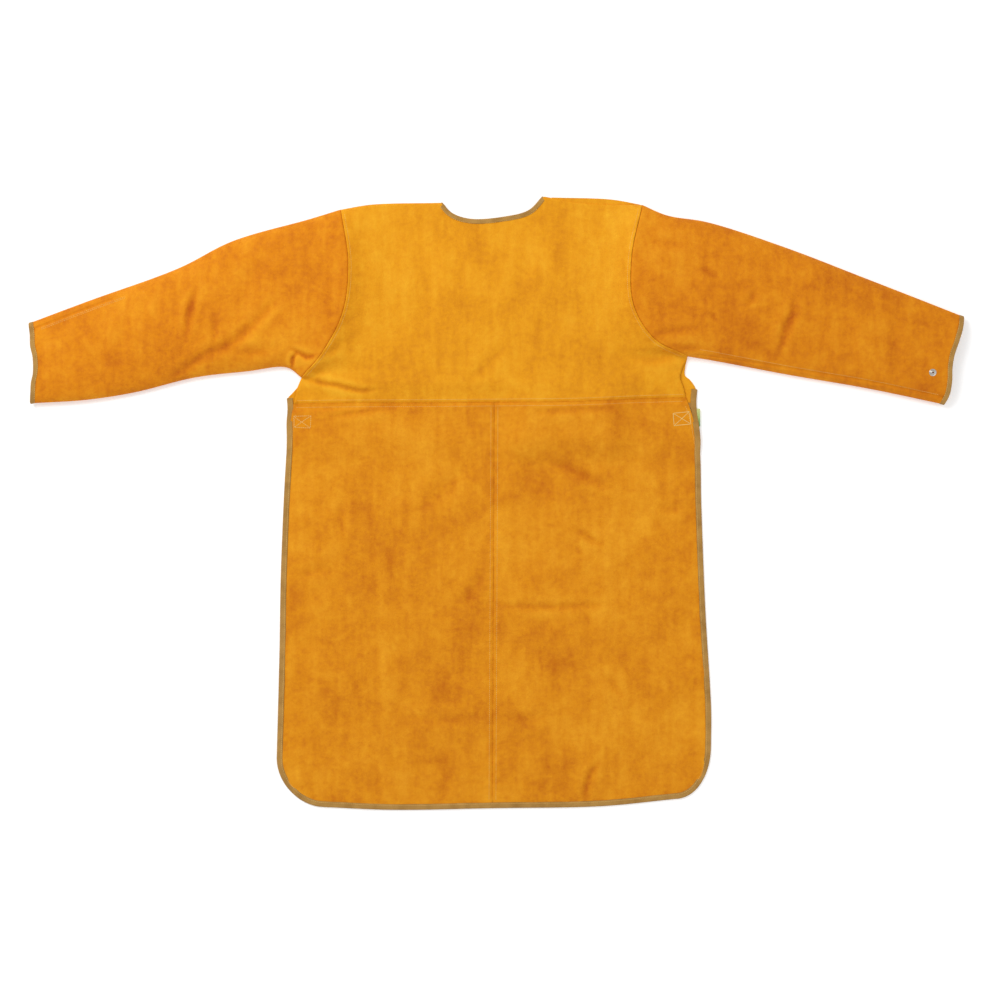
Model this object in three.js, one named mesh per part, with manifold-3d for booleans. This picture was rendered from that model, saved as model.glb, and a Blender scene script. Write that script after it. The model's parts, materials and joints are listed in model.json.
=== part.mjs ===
// Welding apron with long sleeves and an open back, laid flat with its front up.
// Millimetres. +X runs across the sleeves, +Y from the hem to the neck, +Z up from the surface it lies on.
// "left" and "right" are the sides at -X and +X. Every leather panel is a sheet between two grids of points.
import * as THREE from 'three';
import Module from 'manifold-3d';
import { mergeVertices } from 'three/addons/utils/BufferGeometryUtils.js';

const wasm = await Module();
wasm.setup();

// ---- driving dimensions ----
const LEATHER = 1.6;            // split cowhide
const TAPE = 1.1;               // woven binding tape
const GAP = 0.3;                // between pieces that touch
const SEAM_GAP = 0.8;           // between panels that are sewn edge to edge
const BINDING_WIDTH = 8;        // how far a binding folds over an edge
const CHEST_HEIGHT = 350;       // waist seam to shoulder
const SHOULDER_WIDTH = 527;     // between the tops of the armholes
const WAIST_WIDTH = 694;        // across the waist seam
const SKIRT_LENGTH = 708;       // waist seam to hem
const HEM_WIDTH = 755;          // across the skirt above its rounded corners
const HEM_CORNER = 82;          // size of a hem corner
const SLEEVE_LENGTH = 522;      // middle of the armhole to the cuff
const CUFF_WIDTH = 146;         // cuff laid flat
const ARMHOLE_DEPTH = 290;      // shoulder to armpit
const ARMHOLE_CROWN = 44;       // height of the hollow sleeve at the armhole
const ELBOW_CROWN = 36;
const CUFF_CROWN = 25;
const NECK_WIDTH = 179;
const NECK_DEPTH = 33;
const ELBOW_AT = 0.47;          // place of the elbow fold along the sleeve
const FOLD_Y = -179;            // place of the skirt's fold
const WEBBING_WIDTH = 25;
const WEBBING = 1.5;
const BUCKLE_LENGTH = 58;
const BUCKLE_THICKNESS = 9.6;
const BUCKLE_X = 125;           // middle of the closed buckle
const STRAP_Y = 141;            // middle line of the waist straps
const SNAP_RADIUS = 6.4;
const SNAP_ALONG = 0.935;       // place of a cuff snap along the sleeve
const SNAP_ACROSS = 0.3;        // its place from the sleeve's lower edge to its upper edge
const SOCKET_ACROSS = 0.65;     // the same for the half it closes on
const TAB_REACH = 66;           // neck tab, from where it is sewn to its round end
const TAB_HALF = 17;            // half the neck tab's width
const LABEL_Y = 133;            // lower edge of the side label
const BACK_EDGE = [[285, 205], [200, 270], [140, 360], [118, 450]];   // free edge of the open back
const BUCKLE_CLEARANCE = 2.4;   // room kept over the buckle for the sheets above it
const CHEST_CLEARANCE = 1.6;    // the chest rises this much more there than the skirt

// ---- levels, all measured at a sheet's lower face ----
const LOW = TAPE + GAP;                                     // a bound sheet whose tape lies on the floor
const WAIST_LEVEL = LOW + LEATHER + TAPE + 2 * GAP + 0.3;   // the chest, above the bound back panels
const SEAM_LEVEL = WAIST_LEVEL + 1;                         // where upper and lower shells meet
const CUFF_LEVEL = LOW + LEATHER + 0.6;                     // sleeve back, near the cuff
const CUFF_SEAM_LEVEL = CUFF_LEVEL + 5.6;                   // where the sleeve's halves meet at the cuff
const CHEST_LEVEL = 12;                                     // middle of the chest

const LEATHER_LOOK = { color: 0xdc8911, roughness: 0.95, metalness: 0 };
const CHEST_LOOK = { color: 0xe69b19, roughness: 0.95, metalness: 0 };
const TAPE_LOOK = { color: 0xbe9146, roughness: 0.9, metalness: 0 };
const WEB_LOOK = { color: 0x23211f, roughness: 0.85, metalness: 0 };
const PLASTIC_LOOK = { color: 0x151515, roughness: 0.45, metalness: 0 };
const STEEL_LOOK = { color: 0xb9b9b4, roughness: 0.3, metalness: 1 };
const LABEL_LOOK = { color: 0xd9dc66, roughness: 0.8, metalness: 0 };

// ---- small helpers ----
const vec = (x, y, z = 0) => new THREE.Vector3(x, y, z);
const mix = (a, b, t) => a + (b - a) * t;
const smooth = (t) => THREE.MathUtils.smoothstep(t, 0, 1);

/** A smooth edge from a to b. Its bulges are [fraction, offset] pairs, to the left of the way from a to b. */
function edge(a, b, bulges = []) {
  const along = b.clone().sub(a);
  const side = vec(-along.y, along.x).normalize();
  const points = bulges.map(([t, off]) => a.clone().addScaledVector(along, t).addScaledVector(side, off));
  return new THREE.CatmullRomCurve3([a, ...points, b], false, 'centripetal');
}

/** Fractions 0..1 that crowd towards both ends, as equal turns round a flattened tube do. */
const TURNS = 12;
const turnFractions = Array.from({ length: TURNS + 1 }, (_, i) => (1 - Math.cos(Math.PI * i / TURNS)) / 2);
const evenFractions = (n) => Array.from({ length: n + 1 }, (_, i) => i / n);
const sample = (curve, fractions) => fractions.map((t) => curve.getPointAt(t));

/** Fills four rows of edge points that meet at their corners with a grid; grid[i][j], i across, j up. */
function coons(left, right, bottom, top, acrossAt = null, upAt = null) {
  const n = bottom.length - 1;
  const m = left.length - 1;
  return bottom.map((_, i) => left.map((__, j) => {
    const u = acrossAt ? acrossAt[i] : i / n;
    const v = upAt ? upAt[j] : j / m;
    const ruled = left[j].clone().multiplyScalar(1 - u).addScaledVector(right[j], u)
      .addScaledVector(bottom[i], 1 - v).addScaledVector(top[i], v);
    return ruled.addScaledVector(left[0], -(1 - u) * (1 - v)).addScaledVector(right[0], -u * (1 - v))
      .addScaledVector(left[m], -(1 - u) * v).addScaledVector(right[m], -u * v);
  }));
}

/** One closed body between two grids of the same size. */
function sheetBetween(upper, lower) {
  const n = upper.length;
  const m = upper[0].length;
  const position = [];
  [upper, lower].forEach((grid) => grid.forEach((row) => row.forEach((p) => position.push(p.x, p.y, p.z))));
  const at = (layer, i, j) => layer * n * m + i * m + j;
  const index = [];
  const quad = (a, b, c, d) => index.push(a, b, c, a, c, d);
  for (let i = 0; i < n - 1; i += 1) {
    for (let j = 0; j < m - 1; j += 1) {
      quad(at(0, i, j), at(0, i + 1, j), at(0, i + 1, j + 1), at(0, i, j + 1));
      quad(at(1, i, j), at(1, i, j + 1), at(1, i + 1, j + 1), at(1, i + 1, j));
    }
    quad(at(1, i, 0), at(1, i + 1, 0), at(0, i + 1, 0), at(0, i, 0));
    quad(at(0, i, m - 1), at(0, i + 1, m - 1), at(1, i + 1, m - 1), at(1, i, m - 1));
  }
  for (let j = 0; j < m - 1; j += 1) {
    quad(at(0, 0, j), at(0, 0, j + 1), at(1, 0, j + 1), at(1, 0, j));
    quad(at(1, n - 1, j), at(1, n - 1, j + 1), at(0, n - 1, j + 1), at(0, n - 1, j));
  }
  return outward(position, index);
}

/** A geometry whose faces point out, whichever way its index was wound. */
function outward(position, index) {
  const p = (k) => vec(position[3 * k], position[3 * k + 1], position[3 * k + 2]);
  let volume = 0;
  for (let k = 0; k < index.length; k += 3) {
    volume += p(index[k]).dot(p(index[k + 1]).cross(p(index[k + 2])));
  }
  const geometry = new THREE.BufferGeometry();
  geometry.setAttribute('position', new THREE.Float32BufferAttribute(position, 3));
  geometry.setIndex(volume < 0 ? [...index].reverse() : index);
  return geometry;
}

/** A flat-lying sheet: its lower face on the grid, its upper face one thickness above. */
function sheet(lower, thickness = LEATHER) {
  return sheetBetween(lower.map((row) => row.map((p) => vec(p.x, p.y, p.z + thickness))), lower);
}

/** Sweeps a closed section along frames of {at, out, up}; section points are [out, up]. */
function sweep(frames, section) {
  const position = [];
  frames.forEach(({ at, out, up }) => section.forEach(([a, b]) => {
    const p = at.clone().addScaledVector(out, a).addScaledVector(up, b);
    position.push(p.x, p.y, p.z);
  }));
  const s = section.length;
  const rings = frames.length;
  const index = [];
  for (let k = 0; k < rings - 1; k += 1) {
    const next = k + 1;
    for (let i = 0; i < s; i += 1) {
      const j = (i + 1) % s;
      index.push(k * s + i, k * s + j, next * s + j, k * s + i, next * s + j, next * s + i);
    }
  }
  const flat = section.map(([a, b]) => new THREE.Vector2(a, b));
  const turn = Math.sign(THREE.ShapeUtils.area(flat));
  const last = (rings - 1) * s;
  THREE.ShapeUtils.triangulateShape([...flat], []).forEach((face) => {
    const same = Math.sign(THREE.ShapeUtils.area(face.map((k) => flat[k]))) === turn;
    const [a, b, c] = same ? face : [...face].reverse();
    index.push(c, b, a, last + a, last + b, last + c);
  });
  return outward(position, index);
}

/** The U of a tape folded over a sheet whose edge is at out = 0 and whose middle is at up = 0. */
function foldedTape(width = BINDING_WIDTH) {
  const inner = LEATHER / 2 + GAP;
  const outer = inner + TAPE;
  return [[-width, outer], [GAP + TAPE, outer], [GAP + TAPE, -outer], [-width, -outer],
    [-width, -inner], [GAP, -inner], [GAP, inner], [-width, inner]];
}

/** A binding on an edge given by its points at a sheet's lower face; flip picks the side that is out. */
function binding(points, flip = 1) {
  const frames = points.map((p, i) => {
    const before = points[Math.max(i - 1, 0)];
    const after = points[Math.min(i + 1, points.length - 1)];
    const way = vec(after.x - before.x, after.y - before.y).normalize();
    const turn = vec(p.x - before.x, p.y - before.y).normalize();
    const miter = i > 0 && i < points.length - 1 ? 1 / Math.max(way.dot(turn), 0.7) : 1;
    const out = vec(way.y, -way.x).multiplyScalar(flip * miter);
    return { at: vec(p.x, p.y, p.z + LEATHER / 2), out, up: vec(0, 0, 1) };
  });
  return sweep(frames, foldedTape());
}

/** A ring of a round piece: profile points are [radius, height] and close on themselves. */
const lathe = (profile, sides = 14) => new THREE.LatheGeometry(
  [...profile, profile[0]].map(([r, z]) => new THREE.Vector2(r, z)), sides).rotateX(Math.PI / 2);

function toSolid(geometry) {
  const plain = geometry.clone();
  plain.deleteAttribute('normal');
  plain.deleteAttribute('uv');
  const merged = mergeVertices(plain, 1e-4);
  return new wasm.Manifold(new wasm.Mesh({
    numProp: 3,
    vertProperties: new Float32Array(merged.attributes.position.array),
    triVerts: new Uint32Array(merged.index.array),
  }));
}

function fromSolid(solid) {
  const mesh = solid.getMesh();
  const geometry = new THREE.BufferGeometry();
  geometry.setAttribute('position', new THREE.BufferAttribute(mesh.vertProperties, 3));
  geometry.setIndex(new THREE.BufferAttribute(mesh.triVerts, 1));
  return geometry;
}

function cut(geometry, ...tools) {
  return fromSolid(tools.reduce((rest, tool) => rest.subtract(toSolid(tool)), toSolid(geometry)));
}

const apron = new THREE.Group();

function add(name, geometry, look) {
  const mesh = new THREE.Mesh(geometry, new THREE.MeshStandardMaterial(look));
  mesh.name = name;
  apron.add(mesh);
  return mesh;
}

// ---- landmarks ----
// The panels lie a little unevenly, so each side has its own small offsets.
const WAIST_Y = 175;
const LEFT = {
  name: 'left',
  sign: -1,
  armTop: vec(-SHOULDER_WIDTH / 2 - 9, WAIST_Y + CHEST_HEIGHT - 13),
  neck: vec(-NECK_WIDTH / 2 - 8, WAIST_Y + CHEST_HEIGHT - 1),
  waist: vec(-WAIST_WIDTH / 2 - 9, WAIST_Y - 3),
  side: vec(-WAIST_WIDTH / 2 - 2, WAIST_Y + 25),
  backCorner: vec(-WAIST_WIDTH / 2 - 17, WAIST_Y + 9),
  hemSide: vec(-HEM_WIDTH / 2 - 6, WAIST_Y - SKIRT_LENGTH + HEM_CORNER + 4),
  hemEnd: vec(-HEM_WIDTH / 2 - 6 + HEM_CORNER, WAIST_Y - SKIRT_LENGTH + 2),
  droop: THREE.MathUtils.degToRad(13.5),
  armpitIn: -69,
  armBulge: [[0.16, 26], [0.42, 46], [0.71, 35]],
  topBulge: [[0.1, 3], [0.34, 13], [0.52, 1], [0.8, 1]],
  bottomBulge: [[0.05, -20], [0.2, -20], [0.39, -18], [0.62, -2], [0.8, 3]],
  cuffBulge: [[0.36, -4], [0.72, 2]],
  cuffTilt: 15,
  cuffExtra: -9,
  sideBulge: [[0.1, -5.7], [0.45, -7.3], [0.7, -3.4]],
};
const RIGHT = {
  name: 'right',
  sign: 1,
  armTop: vec(SHOULDER_WIDTH / 2 - 10, WAIST_Y + CHEST_HEIGHT - 5),
  neck: vec(NECK_WIDTH / 2 - 8, WAIST_Y + CHEST_HEIGHT + 10),
  waist: vec(WAIST_WIDTH / 2 - 16, WAIST_Y + 8),
  side: vec(WAIST_WIDTH / 2 - 27, WAIST_Y + 46),
  backCorner: vec(WAIST_WIDTH / 2 + 2, WAIST_Y + 22),
  hemSide: vec(HEM_WIDTH / 2 - 5, WAIST_Y - SKIRT_LENGTH + HEM_CORNER + 25),
  hemEnd: vec(HEM_WIDTH / 2 + 14 - HEM_CORNER, WAIST_Y - SKIRT_LENGTH + 16),
  droop: THREE.MathUtils.degToRad(15.5),
  armpitIn: -80,
  armBulge: [[0.16, -48], [0.4, -67], [0.7, -46]],
  topBulge: [[0.08, -3], [0.2, 9], [0.44, 12], [0.7, 7]],
  bottomBulge: [[0.1, 1], [0.4, 1], [0.7, 3]],
  cuffBulge: [[0.15, 4], [0.5, -3], [0.85, 3]],
  cuffTilt: 4,
  cuffExtra: 11,
  sideBulge: [[0.06, 9], [0.15, 15.5], [0.3, 12], [0.6, 6.5], [0.9, 4.5]],
};
const CENTRE_TOP = vec(-4.4, WAIST_Y);
const CENTRE_HEM = vec(-8, WAIST_Y - SKIRT_LENGTH);

for (const side of [LEFT, RIGHT]) {
  const s = side.sign;
  const armpitY = side.armTop.y - ARMHOLE_DEPTH + (s > 0 ? 25 : -4);
  side.armpit = vec(side.armTop.x + s * Math.abs(side.armpitIn), armpitY);
  side.backNeck = side.neck.clone().add(vec(s * 14, s > 0 ? -2 : -1));
  side.armhole = edge(side.armpit, side.armTop, side.armBulge.map(([t, off]) => [t, -off]));
  const root = side.armpit.clone().lerp(side.armTop, 0.5);
  const along = vec(s * Math.cos(side.droop), -Math.sin(side.droop));
  const across = vec(s * Math.sin(side.droop), Math.cos(side.droop));
  const cuff = root.clone().addScaledVector(along, SLEEVE_LENGTH);
  side.along = along;
  side.across = across;
  const half = (CUFF_WIDTH + side.cuffExtra) / 2;
  side.cuffTop = cuff.clone().addScaledVector(across, half).addScaledVector(along, -side.cuffTilt);
  side.cuffBottom = cuff.clone().addScaledVector(across, -half).addScaledVector(along, side.cuffTilt);
  side.top = edge(side.armTop, side.cuffTop, side.topBulge.map(([t, off]) => [t, s * off]));
  side.bottom = edge(side.armpit, side.cuffBottom, side.bottomBulge.map(([t, off]) => [t, off]));
  side.cuffEdge = edge(side.cuffBottom, side.cuffTop, side.cuffBulge);
}

// ---- heights ----
/** Height of a sheet that hangs over the buckle: 1 above it, falling smoothly to 0 all round. */
function overBuckle(x, y) {
  const reachX = (Math.abs(x - BUCKLE_X) - BUCKLE_LENGTH / 2 - 38) / 60;
  const reachY = (Math.abs(y - STRAP_Y) - WEBBING_WIDTH) / 55;
  return (1 - smooth(reachX)) * (1 - smooth(reachY));
}
const BUCKLE_LIFT = BUCKLE_THICKNESS + BUCKLE_CLEARANCE;
const STRAP_RAMP = 55;
function skirtLevel(x, y) {
  const ramp = smooth((y - (STRAP_Y - WEBBING_WIDTH / 2 - STRAP_RAMP - 10)) / STRAP_RAMP);
  return mix(LOW, WAIST_LEVEL, ramp) + (BUCKLE_LIFT - WAIST_LEVEL + CHEST_CLEARANCE) * overBuckle(x, y);
}
const crown = (t) => Math.sin(Math.acos(Math.max(-1, Math.min(1, 1 - 2 * t)))) ** 0.7;
const floorward = (t) => Math.min(1, Math.sin(Math.acos(1 - 2 * t)) / 0.8);

// ---- sleeves ----
/** Points of one half of a sleeve between two fractions of its length, for its outer or its inner face. */
function sleeveGrid(side, from, to, rings, front, inset) {
  const columns = turnFractions;
  const armRow = sample(side.armhole, columns);
  const cuffRow = sample(side.cuffEdge, columns);
  const fractions = evenFractions(rings).map((f) => mix(from, to, f));
  return fractions.map((f) => {
    const low = side.bottom.getPointAt(Math.min(f, 1));
    const high = side.top.getPointAt(Math.min(f, 1));
    const width = low.distanceTo(high);
    const bend = Math.max(0, 1 - f / ELBOW_AT) ** 2;
    const flare = Math.max(0, (f - ELBOW_AT) / (1 - ELBOW_AT)) ** 3;
    const seam = mix(SEAM_LEVEL, CUFF_SEAM_LEVEL, smooth((f - 0.6) / 0.35));
    const upper = seam + GAP / 2;
    const lower = seam - GAP / 2;
    return columns.map((c, k) => {
      const tight = mix(inset / width, 1 - inset / width, c);
      const straight = low.clone().lerp(high, tight);
      const armOff = armRow[k].clone().sub(side.armpit.clone().lerp(side.armTop, c));
      const cuffOff = cuffRow[k].clone().sub(side.cuffBottom.clone().lerp(side.cuffTop, c));
      const p = straight.addScaledVector(armOff, bend).addScaledVector(cuffOff, flare);
      const top = f < ELBOW_AT ? mix(ARMHOLE_CROWN, ELBOW_CROWN, f / ELBOW_AT)
        : mix(ELBOW_CROWN, CUFF_CROWN, (f - ELBOW_AT) / (1 - ELBOW_AT));
      const floor = CUFF_LEVEL * smooth((f - 0.8) / 0.1) + LOW * (1 - smooth(f / 0.12));
      p.z = front ? upper + (top - inset - upper) * crown(c) : lower - (lower - floor - inset) * floorward(c);
      return p;
    });
  });
}

const ARM_START = SEAM_GAP / SLEEVE_LENGTH;
const ELBOW_GAP = 1 / SLEEVE_LENGTH;
const CUFF_END = 1;

function sleevePart(side, from, to, rings, front) {
  const outer = sleeveGrid(side, from, to, rings, front, 0);
  const inner = sleeveGrid(side, from, to, rings, front, LEATHER);
  return sheetBetween(outer, inner);
}

/** A tape folded over the open end of a sleeve, outside and inside it. */
function cuffBinding(side) {
  const start = 1 - BINDING_WIDTH / SLEEVE_LENGTH;
  const end = 1;
  const ring = (f, offset, reach) => {
    const halves = [true, false].map((front) => sleeveGrid(side, f, f, 1, front, -offset)[0]);
    const up = halves[0].map((p) => p.clone());
    const down = halves[1].map((p) => p.clone()).reverse();
    return [...up, ...down].map((p) => p.addScaledVector(side.along, reach));
  };
  const near = GAP;
  const far = GAP + TAPE;
  const loops = [
    ring(start, far, 0), ring(end, far, far),
    ring(end, -LEATHER - far, far), ring(start, -LEATHER - far, 0),
    ring(start, -LEATHER - near, 0), ring(end, -LEATHER - near, near),
    ring(end, near, near), ring(start, near, 0),
  ];
  const count = loops[0].length;
  const position = loops.flatMap((loop) => loop.flatMap((p) => [p.x, p.y, p.z]));
  const index = [];
  for (let k = 0; k < loops.length; k += 1) {
    const l = (k + 1) % loops.length;
    for (let i = 0; i < count; i += 1) {
      const j = (i + 1) % count;
      index.push(k * count + i, k * count + j, l * count + j, k * count + i, l * count + j, l * count + i);
    }
  }
  return outward(position, index);
}

// ---- snap fasteners ----
// Each half is a piece on the leather's outer face whose shank passes a hole to a piece on its inner face.
const SHANK = 1.9;
const CAP_HEIGHT = 1.5;
const studProfile = [
  [0, GAP], [SNAP_RADIUS, GAP], [SNAP_RADIUS, 1.1], [4, 1.4], [3.6, 3], [2.2, 3.4], [0, 3.4],
];
const socketProfile = [
  [SHANK + GAP, GAP], [SNAP_RADIUS, GAP], [SNAP_RADIUS, 1.6], [5.6, 2.6],
  [4, 2.6], [3.8, 1.2], [SHANK + GAP, 1.2],
];
const postProfile = [[0, -LEATHER - GAP - 0.9], [SNAP_RADIUS - 1, -LEATHER - GAP - 0.9],
  [SNAP_RADIUS - 1, -LEATHER - GAP], [SHANK, -LEATHER - GAP], [SHANK, 0], [0, 0]];
const capProfile = [
  [0, -LEATHER - GAP - CAP_HEIGHT], [4.5, -LEATHER - GAP - CAP_HEIGHT],
  [SNAP_RADIUS + 1, -LEATHER - GAP - 0.8], [SNAP_RADIUS + 1, -LEATHER - GAP],
  [SHANK, -LEATHER - GAP], [SHANK, 1.2], [0, 1.2],
];

/** Turns and moves a piece from +Z at the origin to a place and a direction. */
function placeAt(geometry, at, direction) {
  const turn = new THREE.Quaternion().setFromUnitVectors(vec(0, 0, 1), direction);
  return geometry.clone().applyMatrix4(new THREE.Matrix4().compose(at, turn, vec(1, 1, 1)));
}
const shankHole = () => new THREE.CylinderGeometry(SHANK + GAP, SHANK + GAP, 14, 12).rotateX(Math.PI / 2);

/** Place and outward direction on a sleeve's outer face. */
function onSleeve(side, f, c, front) {
  const span = 9;
  const pick = (ff, cc) => {
    const grid = sleeveGrid(side, ff, ff, 1, front, 0)[0];
    const k = turnFractions.findIndex((t) => t >= cc);
    const local = (cc - turnFractions[k - 1]) / (turnFractions[k] - turnFractions[k - 1]);
    return grid[k - 1].clone().lerp(grid[k], local);
  };
  const here = pick(f, c);
  const a = pick(f + span / SLEEVE_LENGTH, c).sub(pick(f - span / SLEEVE_LENGTH, c));
  const b = pick(f, c + 0.05).sub(pick(f, c - 0.05));
  const normal = a.cross(b).normalize();
  if ((front && normal.z < 0) || (!front && normal.z > 0)) normal.negate();
  return { at: here, out: normal };
}

// ---- building ----
function buildSleeve(side) {
  const name = side.name;
  const elbowBefore = ELBOW_AT - ELBOW_GAP;
  const elbowAfter = ELBOW_AT + ELBOW_GAP;
  add(`sleeve_front_${name}`, sleevePart(side, ARM_START, elbowBefore, 6, true), LEATHER_LOOK);
  add(`sleeve_back_${name}`, sleevePart(side, ARM_START, elbowBefore, 6, false), LEATHER_LOOK);
  // One snap half with a stud and one with a socket sit on the forearm near the cuff.
  const studFront = side === RIGHT;
  const stud = onSleeve(side, SNAP_ALONG, SNAP_ACROSS, studFront);
  const cap = onSleeve(side, SNAP_ALONG, studFront ? SNAP_ACROSS : SOCKET_ACROSS, false);
  const holes = (front) => [[stud, studFront], [cap, false]]
    .filter(([, onFront]) => onFront === front)
    .map(([place]) => placeAt(shankHole(), place.at, place.out));
  const front = sleevePart(side, elbowAfter, CUFF_END, 6, true);
  const back = sleevePart(side, elbowAfter, CUFF_END, 6, false);
  add(`forearm_front_${name}`, holes(true).length ? cut(front, ...holes(true)) : front, LEATHER_LOOK);
  add(`forearm_back_${name}`, cut(back, ...holes(false)), LEATHER_LOOK);
  add(`cuff_binding_${name}`, cuffBinding(side), TAPE_LOOK);
  addSnap(`cuff_snap`, `_${name}`, stud, cap);
}

/** A stud half on its place and, at a cap's place, the cap outside and its socket inside the leather. */
function addSnap(prefix, suffix, stud, cap) {
  add(`${prefix}_stud${suffix}`, placeAt(cutStud(), stud.at, stud.out), STEEL_LOOK);
  add(`${prefix}_post${suffix}`, placeAt(lathe(postProfile), stud.at, stud.out), STEEL_LOOK);
  const inward = cap.out.clone().negate();
  const inside = cap.at.clone().addScaledVector(inward, LEATHER);
  add(`${prefix}_cap${suffix}`, placeAt(lathe(capProfile), inside, inward), STEEL_LOOK);
  add(`${prefix}_socket${suffix}`, placeAt(lathe(socketProfile), inside, inward), STEEL_LOOK);
}

/** The stud is hollow under its neck, where the post's shank is riveted. */
function cutStud() {
  return lathe([[SHANK + GAP, GAP], ...studProfile.slice(1, -1), [1.2, 3.4], [1.2, 2.6], [SHANK + GAP, 2.6]]);
}

/** The side and armhole edge of a body panel, from the waist up to the shoulder. */
function bodySide(side, start, middle) {
  const flank = edge(start, side.armpit, [[0.5, 0]]).getPoints(3).slice(0, 3);
  if (middle) flank.splice(1, 2, middle.clone().lerp(start, 0.5), middle.clone());
  return [...flank, ...sample(side.armhole, turnFractions)];
}

const CHEST_COLUMNS = 20;
function buildChest() {
  const left = bodySide(LEFT, LEFT.waist, LEFT.side);
  const right = bodySide(RIGHT, RIGHT.waist, RIGHT.side);
  const rows = left.length - 1;
  const shoulderL = edge(LEFT.armTop, LEFT.neck, [[0.34, 5]]);
  const scoopBulges = [[0.09, -20], [0.27, -NECK_DEPTH], [0.6, -NECK_DEPTH], [0.85, -24]];
  const scoop = edge(LEFT.neck, RIGHT.neck, scoopBulges);
  const shoulderR = edge(RIGHT.neck, RIGHT.armTop, [[0.4, -5]]);
  const top = [...sample(shoulderL, evenFractions(5)), ...sample(scoop, evenFractions(10)).slice(1),
    ...sample(shoulderR, evenFractions(5)).slice(1)];
  const across = top.map((p) => (p.x - top[0].x) / (top[CHEST_COLUMNS].x - top[0].x));
  const seam = edge(LEFT.waist, RIGHT.waist, [[0.5, -2]]);
  const bottom = across.map((t) => seam.getPointAt(t));
  const up = left.map((p, j) => (j / rows));
  const grid = coons(left, right, bottom, top, across, up);
  const armStart = left.length - turnFractions.length;
  grid.forEach((column, i) => column.forEach((p, j) => {
    const t = j < armStart ? 0 : turnFractions[j - armStart];
    const edgeRise = Math.abs(2 * across[i] - 1) ** 4;
    const arch = (ARMHOLE_CROWN - LEATHER - SEAM_LEVEL - GAP / 2) * crown(t) * edgeRise;
    const fromWaist = smooth((p.y - WAIST_Y) / 40);
    const fromTop = smooth((top[i].y - p.y - 30) / 120);
    const chest = mix(SEAM_LEVEL + GAP / 2, CHEST_LEVEL, fromTop * (1 - edgeRise));
    const base = mix(WAIST_LEVEL, chest, fromWaist);
    const buckle = (BUCKLE_LIFT - WAIST_LEVEL + CHEST_CLEARANCE) * overBuckle(p.x, p.y);
    p.z = base + arch + buckle;
  }));
  add('chest_panel', sheet(grid), CHEST_LOOK);
  const neckLine = grid.slice(5, 16).map((column) => column[column.length - 1]);
  add('neck_binding', binding(neckLine, -1), TAPE_LOOK);
}

/** A half back: it meets the front at the shoulder, the armhole and the flank, and its other edge is free. */
function buildBack(side) {
  const name = side.name;
  const s = side.sign;
  const level = SEAM_LEVEL - GAP / 2 - LEATHER;
  const arm = sample(side.armhole, turnFractions);
  arm.forEach((p, k) => { p.z = mix(level, LOW, floorward(turnFractions[k])); });
  const marks = BACK_EDGE.map(([x, y]) => vec(s * x, y));
  const free = new THREE.CatmullRomCurve3([side.backCorner, ...marks, side.backNeck], false, 'centripetal');
  const freeRow = sample(free, evenFractions(TURNS));
  freeRow.forEach((p, k) => { p.z = mix(LOW, level, smooth((k / TURNS - 0.5) / 0.24)); });
  const flank = sample(edge(side.armpit, side.backCorner, [[0.5, s * -3]]), evenFractions(8));
  flank.forEach((p, k) => { p.z = mix(LOW, level, (1 - k / 8) ** 4); });
  const shoulder = sample(edge(side.armTop, side.backNeck, [[0.34, -s * 5]]), evenFractions(8));
  shoulder.forEach((p) => { p.z = level; });
  const grid = coons(arm, freeRow, flank, shoulder, null, turnFractions.map((t, k) => k / TURNS));
  const place = { at: grid[7][TURNS - 2].clone(), out: vec(0, 0, -1) };
  const rim = grid[8][TURNS - 2].clone();
  const body = sheet(grid);
  const line = grid[8].slice(0, 10);
  add(`back_binding_${name}`, binding(line, -s), TAPE_LOOK);
  return { body, place, rim };
}

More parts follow.
